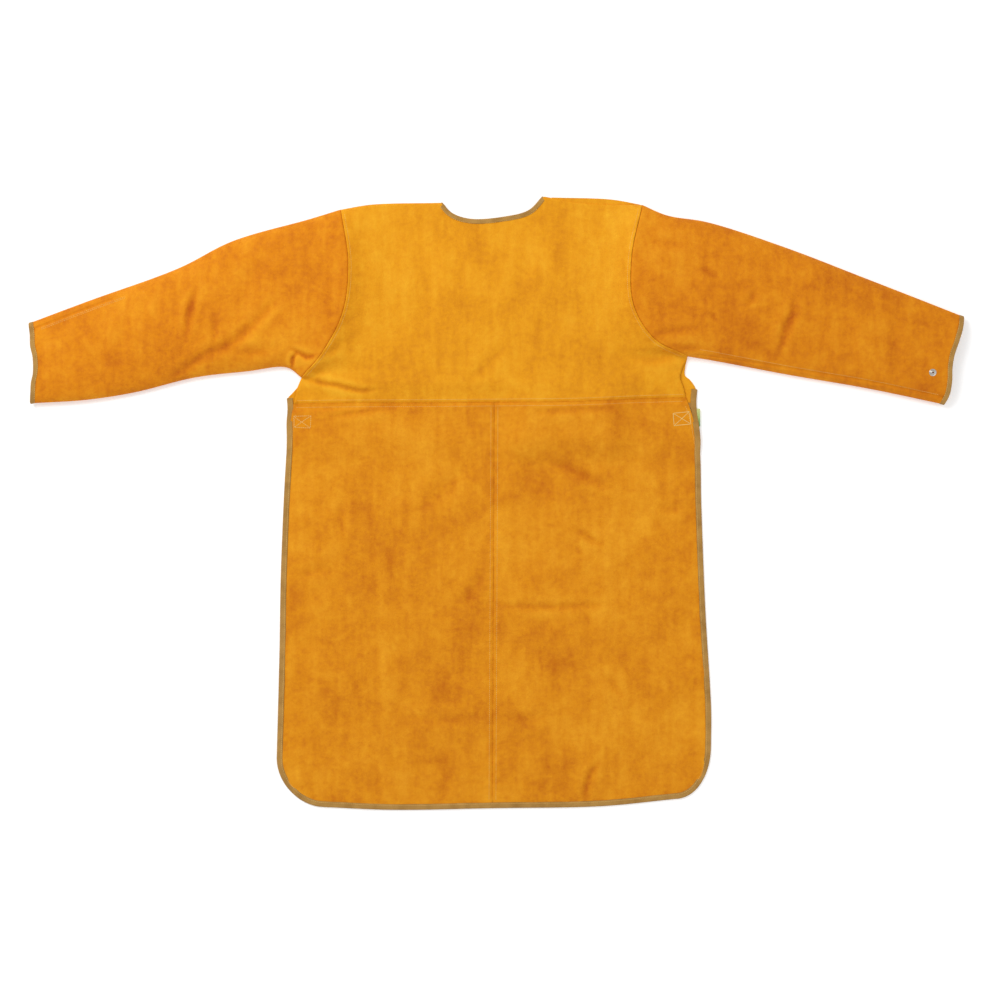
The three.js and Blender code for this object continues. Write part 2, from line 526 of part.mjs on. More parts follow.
const SKIRT_COLUMNS = 11;
const SKIRT_ROWS = 14;
function buildSkirt() {
  const xs = (side, y) => {
    const t = (side.waist.y - y) / (side.waist.y - side.hemSide.y);
    return side.sideCurve.getPointAt(Math.min(Math.max(t, 0), 1)).x;
  };
  for (const side of [LEFT, RIGHT]) {
    const s = side.sign;
    side.sideCurve = edge(side.waist, side.hemSide, side.sideBulge);
    const corner = new THREE.CubicBezierCurve3(
      side.hemSide,
      side.hemSide.clone().add(vec(0, -HEM_CORNER * 0.55)),
      side.hemEnd.clone().add(vec(s * HEM_CORNER * 0.5, 0)),
      side.hemEnd,
    );
    const centreHem = CENTRE_HEM.clone().add(vec(s * SEAM_GAP / 2, 0));
    const hem = edge(side.hemEnd, centreHem, [[0.4, s < 0 ? -4 : 6]]);
    side.cornerPoints = sample(corner, evenFractions(8));
    side.hemPoints = sample(hem, evenFractions(8));
    const rise = CENTRE_TOP.y - CENTRE_HEM.y;
    const centreX = (y) => mix(CENTRE_HEM.x, CENTRE_TOP.x, (y - CENTRE_HEM.y) / rise);
    // Upper part: rows of points from the centre seam to the side.
    const upper = evenFractions(SKIRT_COLUMNS).map((f) => evenFractions(SKIRT_ROWS).map((g) => {
      const sideTop = side.waist.y - SEAM_GAP;
      const centreTop = CENTRE_TOP.y - 2 - SEAM_GAP;
      const low = FOLD_Y + SEAM_GAP;
      const high = mix(centreTop, sideTop, f);
      const y = mix(low, high, g);
      const sideX = xs(side, mix(low, sideTop, g));
      const x = mix(centreX(y) + s * SEAM_GAP / 2, sideX, f);
      return vec(x, y, skirtLevel(x, y));
    }));
    add(`skirt_upper_${side.name}`, sheet(upper), LEATHER_LOOK);
    add(`side_binding_${side.name}`, binding(upper[SKIRT_COLUMNS], s), TAPE_LOOK);
    // Lower part, with its rounded corner.
    const fold = FOLD_Y - SEAM_GAP;
    const sideYs = evenFractions(5).map((f) => mix(side.hemSide.y, fold, f));
    const straight = sideYs.slice(1).map((y) => vec(xs(side, y), y));
    const sideRow = [...side.cornerPoints.slice(0, 5).reverse(), ...straight];
    const hemRow = [...side.hemPoints.slice().reverse(), ...side.cornerPoints.slice(4, 8).reverse()];
    const rows = sideRow.length;
    const centreRow = evenFractions(rows - 1).map((f) => {
      const y = mix(centreHem.y, fold, f);
      return vec(centreX(y) + s * SEAM_GAP / 2, y);
    });
    centreRow[0] = hemRow[0].clone();
    const topRow = evenFractions(hemRow.length - 1).map((f) => {
      return vec(mix(centreRow[rows - 1].x, sideRow[rows - 1].x, f), fold);
    });
    const lower = coons(centreRow, sideRow, hemRow, topRow);
    lower.forEach((column) => column.forEach((p) => { p.z = LOW; }));
    add(`skirt_lower_${side.name}`, sheet(lower), LEATHER_LOOK);
    side.boundEdge = [...hemRow, ...sideRow.slice(1)].map((p) => vec(p.x, p.y, LOW));
  }
  const whole = [...LEFT.boundEdge.slice().reverse(), ...RIGHT.boundEdge.slice(1)];
  add('hem_binding', binding(whole, 1), TAPE_LOOK);
}

// ---- waist straps and buckle ----
const BAR_RADIUS = 1.8;
const LOOP = BAR_RADIUS + 0.5 + WEBBING / 2;
const STRAP_LEVEL = 0.5 + WEBBING / 2;
const BAR_Z = STRAP_LEVEL + LOOP;
const BAR_REACH = BUCKLE_LENGTH / 2 - 4;
const RETURN = 34;
const STRAP_END_LEVEL = WAIST_LEVEL - GAP - WEBBING / 2;

/** A webbing strap from where it is sewn to the skirt to the buckle's bar, round it and back. */
function strapGeometry(sewnX, barX) {
  const way = Math.sign(barX - sewnX);
  const line = [];
  const dip = (t) => mix(STRAP_END_LEVEL, STRAP_LEVEL, smooth(t));
  evenFractions(6).forEach((f) => line.push([sewnX + way * (25 + 60 * f), dip(f)]));
  line.unshift([sewnX, STRAP_END_LEVEL]);
  line.push([barX, STRAP_LEVEL]);
  evenFractions(8).slice(1).forEach((f) => {
    line.push([barX + way * LOOP * Math.sin(Math.PI * f), BAR_Z - LOOP * Math.cos(Math.PI * f)]);
  });
  line.push([barX - way * RETURN * 0.3, BAR_Z + LOOP - 1.2]);
  line.push([barX - way * RETURN, STRAP_LEVEL + WEBBING + 2 * GAP]);
  const sides = [-0.5, 0.5].map((h) => line.map(([x, z], i) => {
    const [ax, az] = line[Math.max(i - 1, 0)];
    const [bx, bz] = line[Math.min(i + 1, line.length - 1)];
    const length = Math.hypot(bx - ax, bz - az);
    return [x - ((bz - az) / length) * WEBBING * h, z + ((bx - ax) / length) * WEBBING * h];
  }));
  const outline = [...sides[0], ...sides[1].reverse()];
  const frames = [-0.5, 0.5].map((h) => ({
    at: vec(0, STRAP_Y + h * WEBBING_WIDTH), out: vec(1, 0), up: vec(0, 0, 1),
  }));
  return sweep(frames, outline);
}

const box = (x0, x1, y0, y1, z0, z1) => new THREE.BoxGeometry(x1 - x0, y1 - y0, z1 - z0)
  .translate((x0 + x1) / 2, (y0 + y1) / 2, (z0 + z1) / 2);

const BUCKLE_WIDTH = WEBBING_WIDTH + 9;
const FLOOR_GAP = 0.4;
const WALL = 1.6;
const MOUTH_X = BUCKLE_X - 2;
const PRONG_LENGTH = 19;
const PRONG_WIDTH = 4;

/** A straight bar across the buckle that a strap loops round. */
const bar = new THREE.CylinderGeometry(BAR_RADIUS, BAR_RADIUS, BUCKLE_WIDTH - 2, 12);
const crossBar = (x) => bar.clone().translate(x, STRAP_Y, BAR_Z);

/** The socket half: a flat housing, open at its mouth and at both sides where the prongs' ends show. */
function buildBuckleFemale() {
  const half = BUCKLE_WIDTH / 2;
  const end = BUCKLE_X + BUCKLE_LENGTH / 2;
  const top = FLOOR_GAP + BUCKLE_THICKNESS;
  const shell = box(MOUTH_X, end, STRAP_Y - half, STRAP_Y + half, FLOOR_GAP, top);
  const pocketEnd = MOUTH_X + PRONG_LENGTH + 1;
  const low = FLOOR_GAP + WALL;
  const wall = half - WALL;
  const inside = box(MOUTH_X - 1, pocketEnd, STRAP_Y - wall, STRAP_Y + wall, low, top - WALL);
  const windows = box(MOUTH_X + 5, pocketEnd, STRAP_Y - half - 1, STRAP_Y + half + 1, low, top - WALL);
  const barRoom = box(pocketEnd + WALL, end + 1, STRAP_Y - half + 3, STRAP_Y + half - 3, -1, top + 1);
  const body = cut(shell, inside, windows, barRoom);
  return fromSolid(toSolid(body).add(toSolid(crossBar(BUCKLE_X + BAR_REACH))));
}

/** The plug half: a strap frame with a middle guide tongue. */
function buildBuckleMale() {
  const half = BUCKLE_WIDTH / 2;
  const start = BUCKLE_X - BUCKLE_LENGTH / 2;
  const top = FLOOR_GAP + BUCKLE_THICKNESS;
  const plate = box(start, MOUTH_X - GAP, STRAP_Y - half, STRAP_Y + half, FLOOR_GAP, top);
  const room = box(start - 1, MOUTH_X - 7, STRAP_Y - half + 3, STRAP_Y + half - 3, -1, top + 1);
  const tongueEnd = MOUTH_X + PRONG_LENGTH - 4;
  const tongue = box(MOUTH_X - 2, tongueEnd, STRAP_Y - 3, STRAP_Y + 3, FLOOR_GAP + WALL + 1, top - WALL - 1);
  const solid = toSolid(plate).subtract(toSolid(room)).add(toSolid(tongue));
  return fromSolid(solid.add(toSolid(crossBar(BUCKLE_X - BAR_REACH))));
}

/** A springy prong whose shouldered end is the release button at the side of the housing. */
function prong(way) {
  const half = BUCKLE_WIDTH / 2;
  const outer = half - WALL - GAP;
  const root = MOUTH_X;
  const shape = new THREE.Shape();
  shape.moveTo(root, outer - PRONG_WIDTH + 1);
  shape.lineTo(root + PRONG_LENGTH - 3, outer - PRONG_WIDTH + 1);
  shape.lineTo(root + PRONG_LENGTH, outer - 2);
  shape.quadraticCurveTo(root + PRONG_LENGTH - 1, half + 1, root + PRONG_LENGTH - 6, half + 1.2);
  shape.lineTo(root + 7, half + 0.6);
  shape.lineTo(root + 6, outer);
  shape.lineTo(root, outer);
  const height = BUCKLE_THICKNESS - 2 * WALL - 2 * GAP;
  const solid = new THREE.ExtrudeGeometry(shape, { depth: height, bevelEnabled: false, curveSegments: 4 });
  solid.translate(0, 0, FLOOR_GAP + WALL + GAP);
  if (way > 0) return solid.translate(0, STRAP_Y, 0);
  const turned = solid.rotateX(Math.PI);
  return turned.translate(0, STRAP_Y, 2 * FLOOR_GAP + BUCKLE_THICKNESS);
}

const SEWN_LEFT = LEFT.waist.x + BINDING_WIDTH + 1.5;
const SEWN_RIGHT = RIGHT.waist.x - BINDING_WIDTH - 1.5;
const LABEL = { width: 18, height: 31, thickness: 0.6, proud: 13 };

function buildWaist() {
  add('waist_strap_left', strapGeometry(SEWN_LEFT, BUCKLE_X - BAR_REACH), WEB_LOOK);
  add('waist_strap_right', strapGeometry(SEWN_RIGHT, BUCKLE_X + BAR_REACH), WEB_LOOK);
  add('buckle_female', buildBuckleFemale(), PLASTIC_LOOK);
  add('buckle_male', buildBuckleMale(), PLASTIC_LOOK);
  add('buckle_prong_upper', prong(1), PLASTIC_LOOK);
  add('buckle_prong_lower', prong(-1), PLASTIC_LOOK);
  const x = RIGHT.sideCurve.getPointAt(0.05).x + GAP + TAPE + LABEL.proud;
  const z = WAIST_LEVEL - LOW - GAP - LABEL.thickness;
  const label = box(x - LABEL.width, x, LABEL_Y, LABEL_Y + LABEL.height, z, z + LABEL.thickness);
  add('side_label', label, LABEL_LOOK);
}

// ---- neck closure ----
function buildNeck() {
  const left = buildBack(LEFT);
  const right = buildBack(RIGHT);
  const tabStart = left.rim.clone().add(vec(-9, 0, 0));
  const tabLevel = left.rim.z - 2 * GAP - LEATHER;
  const outline = new THREE.Shape();
  outline.moveTo(0, -TAB_HALF);
  outline.lineTo(TAB_REACH - TAB_HALF, -TAB_HALF);
  outline.absarc(TAB_REACH - TAB_HALF, 0, TAB_HALF, -Math.PI / 2, Math.PI / 2, false);
  outline.lineTo(0, TAB_HALF);
  const tab = new THREE.ExtrudeGeometry(outline, { depth: LEATHER, bevelEnabled: false, curveSegments: 8 });
  tab.translate(tabStart.x, tabStart.y, tabLevel);
  const capPlace = { at: vec(tabStart.x + TAB_REACH - TAB_HALF, tabStart.y, tabLevel), out: vec(0, 0, -1) };
  add('back_panel_left', left.body, CHEST_LOOK);
  add('back_panel_right', cut(right.body, placeAt(shankHole(), right.place.at, vec(0, 0, -1))), CHEST_LOOK);
  add('neck_tab', cut(tab, placeAt(shankHole(), capPlace.at, vec(0, 0, -1))), LEATHER_LOOK);
  addSnap('neck_snap', '', right.place, capPlace);
}

buildChest();
buildSleeve(LEFT);
buildSleeve(RIGHT);
buildSkirt();
buildWaist();
buildNeck();

export default apron;
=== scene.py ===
"""Visual model of a leather welding apron with long sleeves and an open back, laid flat with its front up.

Every leather panel is one sheet over the frame's panels, edged with ribbed tape and sewn with real stitches.
Lengths are written in millimetres through mm() and held in metres.
"""

from __future__ import annotations

import json
import logging
import math
from dataclasses import dataclass, field
from enum import Enum
from typing import Callable, Sequence

import bmesh
import bpy
import numpy as np
from mathutils import Matrix, Vector, noise
from mathutils.bvhtree import BVHTree

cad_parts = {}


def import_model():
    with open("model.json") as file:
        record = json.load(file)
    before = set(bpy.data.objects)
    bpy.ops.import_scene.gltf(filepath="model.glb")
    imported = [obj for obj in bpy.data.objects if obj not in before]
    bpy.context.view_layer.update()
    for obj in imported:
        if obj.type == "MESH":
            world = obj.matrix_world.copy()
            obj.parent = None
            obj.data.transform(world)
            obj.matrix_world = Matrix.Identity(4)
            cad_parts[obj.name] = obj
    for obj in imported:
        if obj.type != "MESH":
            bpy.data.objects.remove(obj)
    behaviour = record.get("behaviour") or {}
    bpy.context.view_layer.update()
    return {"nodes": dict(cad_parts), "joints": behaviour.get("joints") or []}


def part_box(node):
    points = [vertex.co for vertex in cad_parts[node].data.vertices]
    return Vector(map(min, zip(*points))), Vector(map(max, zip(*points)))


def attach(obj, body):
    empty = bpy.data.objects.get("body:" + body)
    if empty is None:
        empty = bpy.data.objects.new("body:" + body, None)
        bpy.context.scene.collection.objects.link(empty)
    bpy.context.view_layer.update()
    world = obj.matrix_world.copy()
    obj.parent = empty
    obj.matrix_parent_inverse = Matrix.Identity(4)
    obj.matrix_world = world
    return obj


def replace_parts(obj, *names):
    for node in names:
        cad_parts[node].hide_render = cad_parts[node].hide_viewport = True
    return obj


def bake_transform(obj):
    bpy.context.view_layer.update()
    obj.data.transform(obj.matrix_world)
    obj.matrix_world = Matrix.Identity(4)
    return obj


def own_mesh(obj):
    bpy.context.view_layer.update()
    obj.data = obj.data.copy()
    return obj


LOG = logging.getLogger("apron")
MM = 0.001
Array = np.ndarray
Place = Callable[[Array, Array], "tuple[Array, Array]"]


def mm(*values: float) -> Array:
    """Turns millimetres into an array of metres."""
    return np.array(values, float) * MM


# ---------------------------------------------------------------- shared sizes


@dataclass(frozen=True)
class Build:
    """Thicknesses and levels that every panel shares, in metres."""

    leather: float = 1.6 * MM
    tape: float = 0.9 * MM
    tape_width: float = 8.4 * MM
    low: float = 1.4 * MM
    waist_level: float = 5.0 * MM
    seam_level: float = 6.15 * MM
    cuff_level: float = 3.6 * MM
    cuff_seam_level: float = 9.2 * MM
    chest_level: float = 12 * MM
    armhole_crown: float = 44 * MM
    elbow_crown: float = 36 * MM
    cuff_crown: float = 25 * MM
    elbow_at: float = 0.47
    sleeve_length: float = 522 * MM
    fold_y: float = -179 * MM
    strap_y: float = 141 * MM
    webbing: float = 1.5 * MM
    webbing_width: float = 25 * MM
    buckle_x: float = 125 * MM
    buckle_length: float = 58 * MM
    buckle_lift: float = 12 * MM
    seam_overlap: float = 0.4 * MM
    centre_overlap: float = 0.12 * MM
    fold_above: float = 10 * MM
    fold_below: float = 20 * MM


BUILD = Build()


def smooth(t: Array | float) -> Array:
    """Runs from 0 to 1 with level ends."""
    t = np.clip(t, 0, 1)
    return t * t * (3 - 2 * t)


def mix(a: Array | float, b: Array | float, t: Array | float) -> Array:
    """Goes from a to b as t goes from 0 to 1."""
    return a + (b - a) * t


def column(values: Array) -> Array:
    """Stands a row of numbers up, to scale rows of points."""
    return np.asarray(values)[:, None]


def over_buckle(x: Array, y: Array) -> Array:
    """How far a sheet rides over the buckle: 1 above it, 0 away from it."""
    level_end, slope_x, slope_y = 38 * MM, 60 * MM, 55 * MM
    reach_x = (abs(x - BUILD.buckle_x) - BUILD.buckle_length / 2 - level_end) / slope_x
    reach_y = (abs(y - BUILD.strap_y) - BUILD.webbing_width) / slope_y
    return (1 - smooth(reach_x)) * (1 - smooth(reach_y))


class Edge:
    """A smooth flat line through a few points, read by its share of length."""

    steps = 60

    def __init__(self, points: Sequence[Array]) -> None:
        """Fits the line.

        Args:
            points: The points that it passes, in metres.
        """
        ends = np.array(points)
        ghost = [2 * ends[0] - ends[1], *ends, 2 * ends[-1] - ends[-2]]
        spans = [self._span(*ghost[i : i + 4]) for i in range(len(ends) - 1)]
        self.line = np.vstack([*spans, ends[-1:]])
        gaps = np.linalg.norm(np.diff(self.line, axis=0), axis=1)
        self.reach = np.concatenate([[0.0], np.cumsum(gaps)])
        self.length = float(self.reach[-1])

    def _span(self, before: Array, start: Array, end: Array, after: Array) -> Array:
        """Points of one centripetal span.

        Args:
            before: The point ahead of the span.
            start: Where the span starts.
            end: Where it ends.
            after: The point past it.

        Returns:
            Rows of points, without the last one.
        """
        t = np.linspace(0, 1, self.steps, endpoint=False)[:, None]
        d0, d1, d2 = (
            max(float(np.linalg.norm(b - a)) ** 0.5, 1e-6)
            for a, b in ((before, start), (start, end), (end, after))
        )
        way_in = ((start - before) / d0 - (end - before) / (d0 + d1) + (end - start) / d1) * d1
        way_out = ((end - start) / d1 - (after - start) / (d1 + d2) + (after - end) / d2) * d1
        bend = 2 * (start - end) + way_in + way_out
        turn = 3 * (end - start) - 2 * way_in - way_out
        return bend * t**3 + turn * t**2 + way_in * t + start

    def at(self, share: Array) -> Array:
        """Points at shares of the line's length."""
        reach = np.clip(np.asarray(share, float), 0, 1) * self.length
        return np.stack([np.interp(reach, self.reach, axis) for axis in self.line.T], axis=1)


def bulged(a: Array, b: Array, bulges: Sequence[tuple[float, float]] = ()) -> Edge:
    """A line from a to b that swells to its left by (share, millimetres)."""
    along = b - a
    side = np.array([-along[1], along[0]]) / np.linalg.norm(along)
    return Edge([a, *(a + along * t + side * off * MM for t, off in bulges), b])


def coons(
    left: Array, right: Array, bottom: Array, top: Array, corners: Sequence[Array], u: Array, v: Array
) -> Array:
    """Fills four edges.

    Args:
        left: The left edge's point at each vertex's height.
        right: The right edge's point there.
        bottom: The bottom edge's point at each vertex's place across.
        top: The top edge's point there.
        corners: Lower left, lower right, upper left and upper right.
        u: Each vertex's share across.
        v: Each vertex's share up.

    Returns:
        The flat place of each vertex.
    """
    u, v = column(u), column(v)
    sides = left * (1 - u) + right * u + bottom * (1 - v) + top * v
    low = corners[0] * (1 - u) + corners[1] * u
    high = corners[2] * (1 - u) + corners[3] * u
    return sides - low * (1 - v) - high * v


def crowd(t: Array, lines: float, share: float) -> Array:
    """Packs grid lines near both ends: this share of the lines fills that share of the width."""
    return np.interp(t, [0, lines, 1 - lines, 1], [0, share, 1 - share, 1])


# ---------------------------------------------------------------- relief


@dataclass(frozen=True)
class Crease:
    """A fold in a sheet: where it runs, its width and depth in millimetres. A depth below 0 is a ridge."""

    points: tuple[tuple[float, float], ...]
    width: float = 6.0
    depth: float = 2.0

    def height(self, x: Array, y: Array) -> Array:
        """The lift that this crease gives each point, in metres.

        Args:
            x: Places across, in metres.
            y: Places up the apron, in metres.

        Returns:
            The lift of each place.
        """
        line = Edge([mm(*p) for p in self.points]).at(np.linspace(0, 1, 26))
        best = np.full(len(x), 1e9)
        share = np.zeros(len(x))
        for k, (a, b) in enumerate(zip(line[:-1], line[1:])):
            way = b - a
            t = ((x - a[0]) * way[0] + (y - a[1]) * way[1]) / max(float(way @ way), 1e-12)
            t = np.clip(t, 0, 1)
            gap = np.hypot(x - a[0] - t * way[0], y - a[1] - t * way[1])
            near = gap < best
            best = np.where(near, gap, best)
            share = np.where(near, (k + t) / (len(line) - 1), share)
        taper = np.sin(math.pi * np.clip(share, 0.02, 0.98)) ** 0.7
        wide = self.width * MM * (0.6 + 0.4 * taper)
        sink = np.exp(-((best / wide) ** 2))
        shoulder = np.exp(-(((best - 2.3 * wide) / (1.3 * wide)) ** 2))
        return self.depth * MM * taper * (0.42 * shoulder - sink)


def billow(x: Array, y: Array, size: float, seed: float) -> Array:
    """Soft lumps of about that size in metres, from -1 to 1."""
    return np.array([noise.noise(Vector((a / size, b / size, seed))) for a, b in zip(x, y)])


@dataclass(frozen=True)
class Relief:
    """How one sheet lies: its creases and its general waviness, in millimetres."""

    creases: tuple[Crease, ...] = ()
    swell: float = 1.6
    ripple: float = 0.55
    seed: float = 1.0

    def height(self, x: Array, y: Array) -> Array:
        """The lift of each point, in metres."""
        wave = self.swell * billow(x, y, 0.085, self.seed) + self.ripple * billow(x, y, 0.024, self.seed + 7)
        wave = wave + 0.35 * self.ripple * billow(x, y, 0.0095, self.seed + 13)
        return wave * MM + sum((c.height(x, y) for c in self.creases), np.zeros(len(x)))


def groove(gap: Array, depth: float = 2.1 * MM, width: float = 2.6 * MM) -> Array:
    """The dip of a sheet that turns down into a seam, by distance from it."""
    return -depth * np.exp(-((gap / width) ** 2))


def pucker(along: Array, gap: Array, rise: float, seed: float) -> Array:
    """Small gathers that stand off a sewn edge and die out from it."""
    pitch, drift, fade, sewn = 19 * MM, 61 * MM, 17 * MM, 3.5 * MM
    phase = along / pitch + np.sin(along / drift + seed) * 1.4
    return rise * np.sin(phase * 2 * math.pi) * np.exp(-gap / fade) * smooth(gap / sewn)


# ---------------------------------------------------------------- meshes


def finished(bm: bmesh.types.BMesh, name: str, material: bpy.types.Material) -> bpy.types.Object:
    """Makes a smooth-shaded object of a bmesh and frees it.

    Args:
        bm: The mesh.
        name: The piece's name.
        material: Its finish.

    Returns:
        The new object, at the origin.
    """
    mesh = bpy.data.meshes.new(name)
    bm.to_mesh(mesh)
    bm.free()
    mesh.materials.append(material)
    mesh.shade_smooth()
    piece = bpy.data.objects.new(name, mesh)
    bpy.context.scene.collection.objects.link(piece)
    return piece


@dataclass
class Weave:
    """A sheet's grid: how many faces each way, how long it is each way for its pattern, and if it closes."""

    across: int
    up: int
    long: float = 1.0
    wide: float = 1.0
    closed: bool = False


def surface(
    name: str,
    weave: Weave,
    place: Place,
    material: bpy.types.Material,
    hollow: Callable[[Array, Array], Array] | None = None,
) -> bpy.types.Object:
    """Lays a grid over a surface.

    Args:
        name: The piece's name.
        weave: The grid.
        place: Gives each vertex's point and a point behind it, from its shares across and up.
        material: The finish.
        hollow: Gives how deep each point lies in a fold, which the finish darkens as painted shade.

    Returns:
        The piece, its faces towards the side away from the points behind.
    """
    bm = bmesh.new()
    bm.loops.layers.uv.new("flat")
    bmesh.ops.create_grid(bm, x_segments=weave.across, y_segments=weave.up, size=0.5, calc_uvs=True)
    at = np.array([v.co[:2] for v in bm.verts]) + 0.5
    points, behind = place(at[:, 0], at[:, 1])
    depth = None if hollow is None else hollow(points[:, 0], points[:, 1])
    # Crease depths kept on the mesh, for the leather's painted shade in the folds.
    if depth is not None:
        layer = bm.verts.layers.float.new("hollow")
        for vert, value in zip(bm.verts, depth):
            vert[layer] = float(value)
    for vert, point in zip(bm.verts, points):
        vert.co = point
    flat = bm.loops.layers.uv.verify()
    for face in bm.faces:
        for loop in face.loops:
            loop[flat].uv = (loop[flat].uv[0] * weave.long, loop[flat].uv[1] * weave.wide)
    bm.normal_update()
    pairs = zip(bm.verts, points, behind)
    facing = sum(vert.normal.dot(Vector(point - back)) for vert, point, back in pairs)
    if facing < 0:
        bmesh.ops.reverse_faces(bm, faces=bm.faces[:])
    if weave.closed:
        bmesh.ops.remove_doubles(bm, verts=bm.verts[:], dist=1e-6)
    return finished(bm, name, material)


def thicken(piece: bpy.types.Object, thickness: float, offset: float = -1.0) -> bpy.types.Object:
    """Gives a sheet its thickness, behind its faces.

    Args:
        piece: The sheet.
        thickness: Its thickness in metres.
        offset: Which side of the sheet it grows to, from -1 to 1.

    Returns:
        The same piece.
    """
    wall = piece.modifiers.new("thickness", "SOLIDIFY")
    wall.thickness = thickness
    wall.offset = offset
    wall.use_quality_normals = True
    return piece


def softened(
    node: bpy.types.Object, name: str, radius: float, material: bpy.types.Material
) -> bpy.types.Object:
    """Copies a frame part with its edges rounded.

    Args:
        node: The frame's part.
        name: The new piece's name.
        radius: How far the edges are rounded, in metres.
        material: The finish.

    Returns:
        The rounded piece.
    """
    bm = bmesh.new()
    bm.from_mesh(node.data)
    bmesh.ops.remove_doubles(bm, verts=bm.verts[:], dist=1e-5)
    bmesh.ops.dissolve_limit(bm, angle_limit=math.radians(2), verts=bm.verts[:], edges=bm.edges[:])
    sharp = [e for e in bm.edges if len(e.link_faces) == 2 and e.calc_face_angle(0) > math.radians(35)]
    bmesh.ops.bevel(
        bm,
        geom=sharp,
        offset=radius,
        segments=3,
        profile=0.5,
        affect="EDGES",
        clamp_overlap=True,
        material=-1,
    )
    bmesh.ops.triangulate(bm, faces=[f for f in bm.faces if len(f.verts) > 4])
    piece = finished(bm, name, material)
    piece.data.set_sharp_from_angle(angle=math.radians(50))
    return piece


# ---------------------------------------------------------------- finishes


class Value:
    """A socket that takes part in sums: an expression on values adds its own nodes."""

    def __init__(self, graph: "Graph", socket: bpy.types.NodeSocket) -> None:
        """Wraps a socket of a graph."""
        self.graph = graph
        self.socket = socket

    def _sum(self, operation: str, first: object, second: object) -> "Value":
        """One Math node on two values or numbers."""
        made = self.graph.node("ShaderNodeMath", {"operation": operation}, {0: first, 1: second})
        return Value(self.graph, made.outputs[0])

    def __add__(self, other: object) -> "Value":
        """Adds."""
        return self._sum("ADD", self, other)

    __radd__ = __add__

    def __sub__(self, other: object) -> "Value":
        """Takes other away."""
        return self._sum("SUBTRACT", self, other)

    def __rsub__(self, other: object) -> "Value":
        """Takes this away from other."""
        return self._sum("SUBTRACT", other, self)

    def __mul__(self, other: object) -> "Value":
        """Multiplies."""
        return self._sum("MULTIPLY", self, other)

    __rmul__ = __mul__

    def __pow__(self, other: object) -> "Value":
        """Raises to a power."""
        return self._sum("POWER", self, other)

    def sine(self) -> "Value":
        """The sine of an angle in radians."""
        return self._sum("SINE", self, 0.0)

    def size(self) -> "Value":
        """The value without its sign."""
        return self._sum("ABSOLUTE", self, 0.0)

    def least(self, other: object) -> "Value":
        """The smaller of two."""
        return self._sum("MINIMUM", self, other)

    def most(self, other: object) -> "Value":
        """The larger of two."""
        return self._sum("MAXIMUM", self, other)


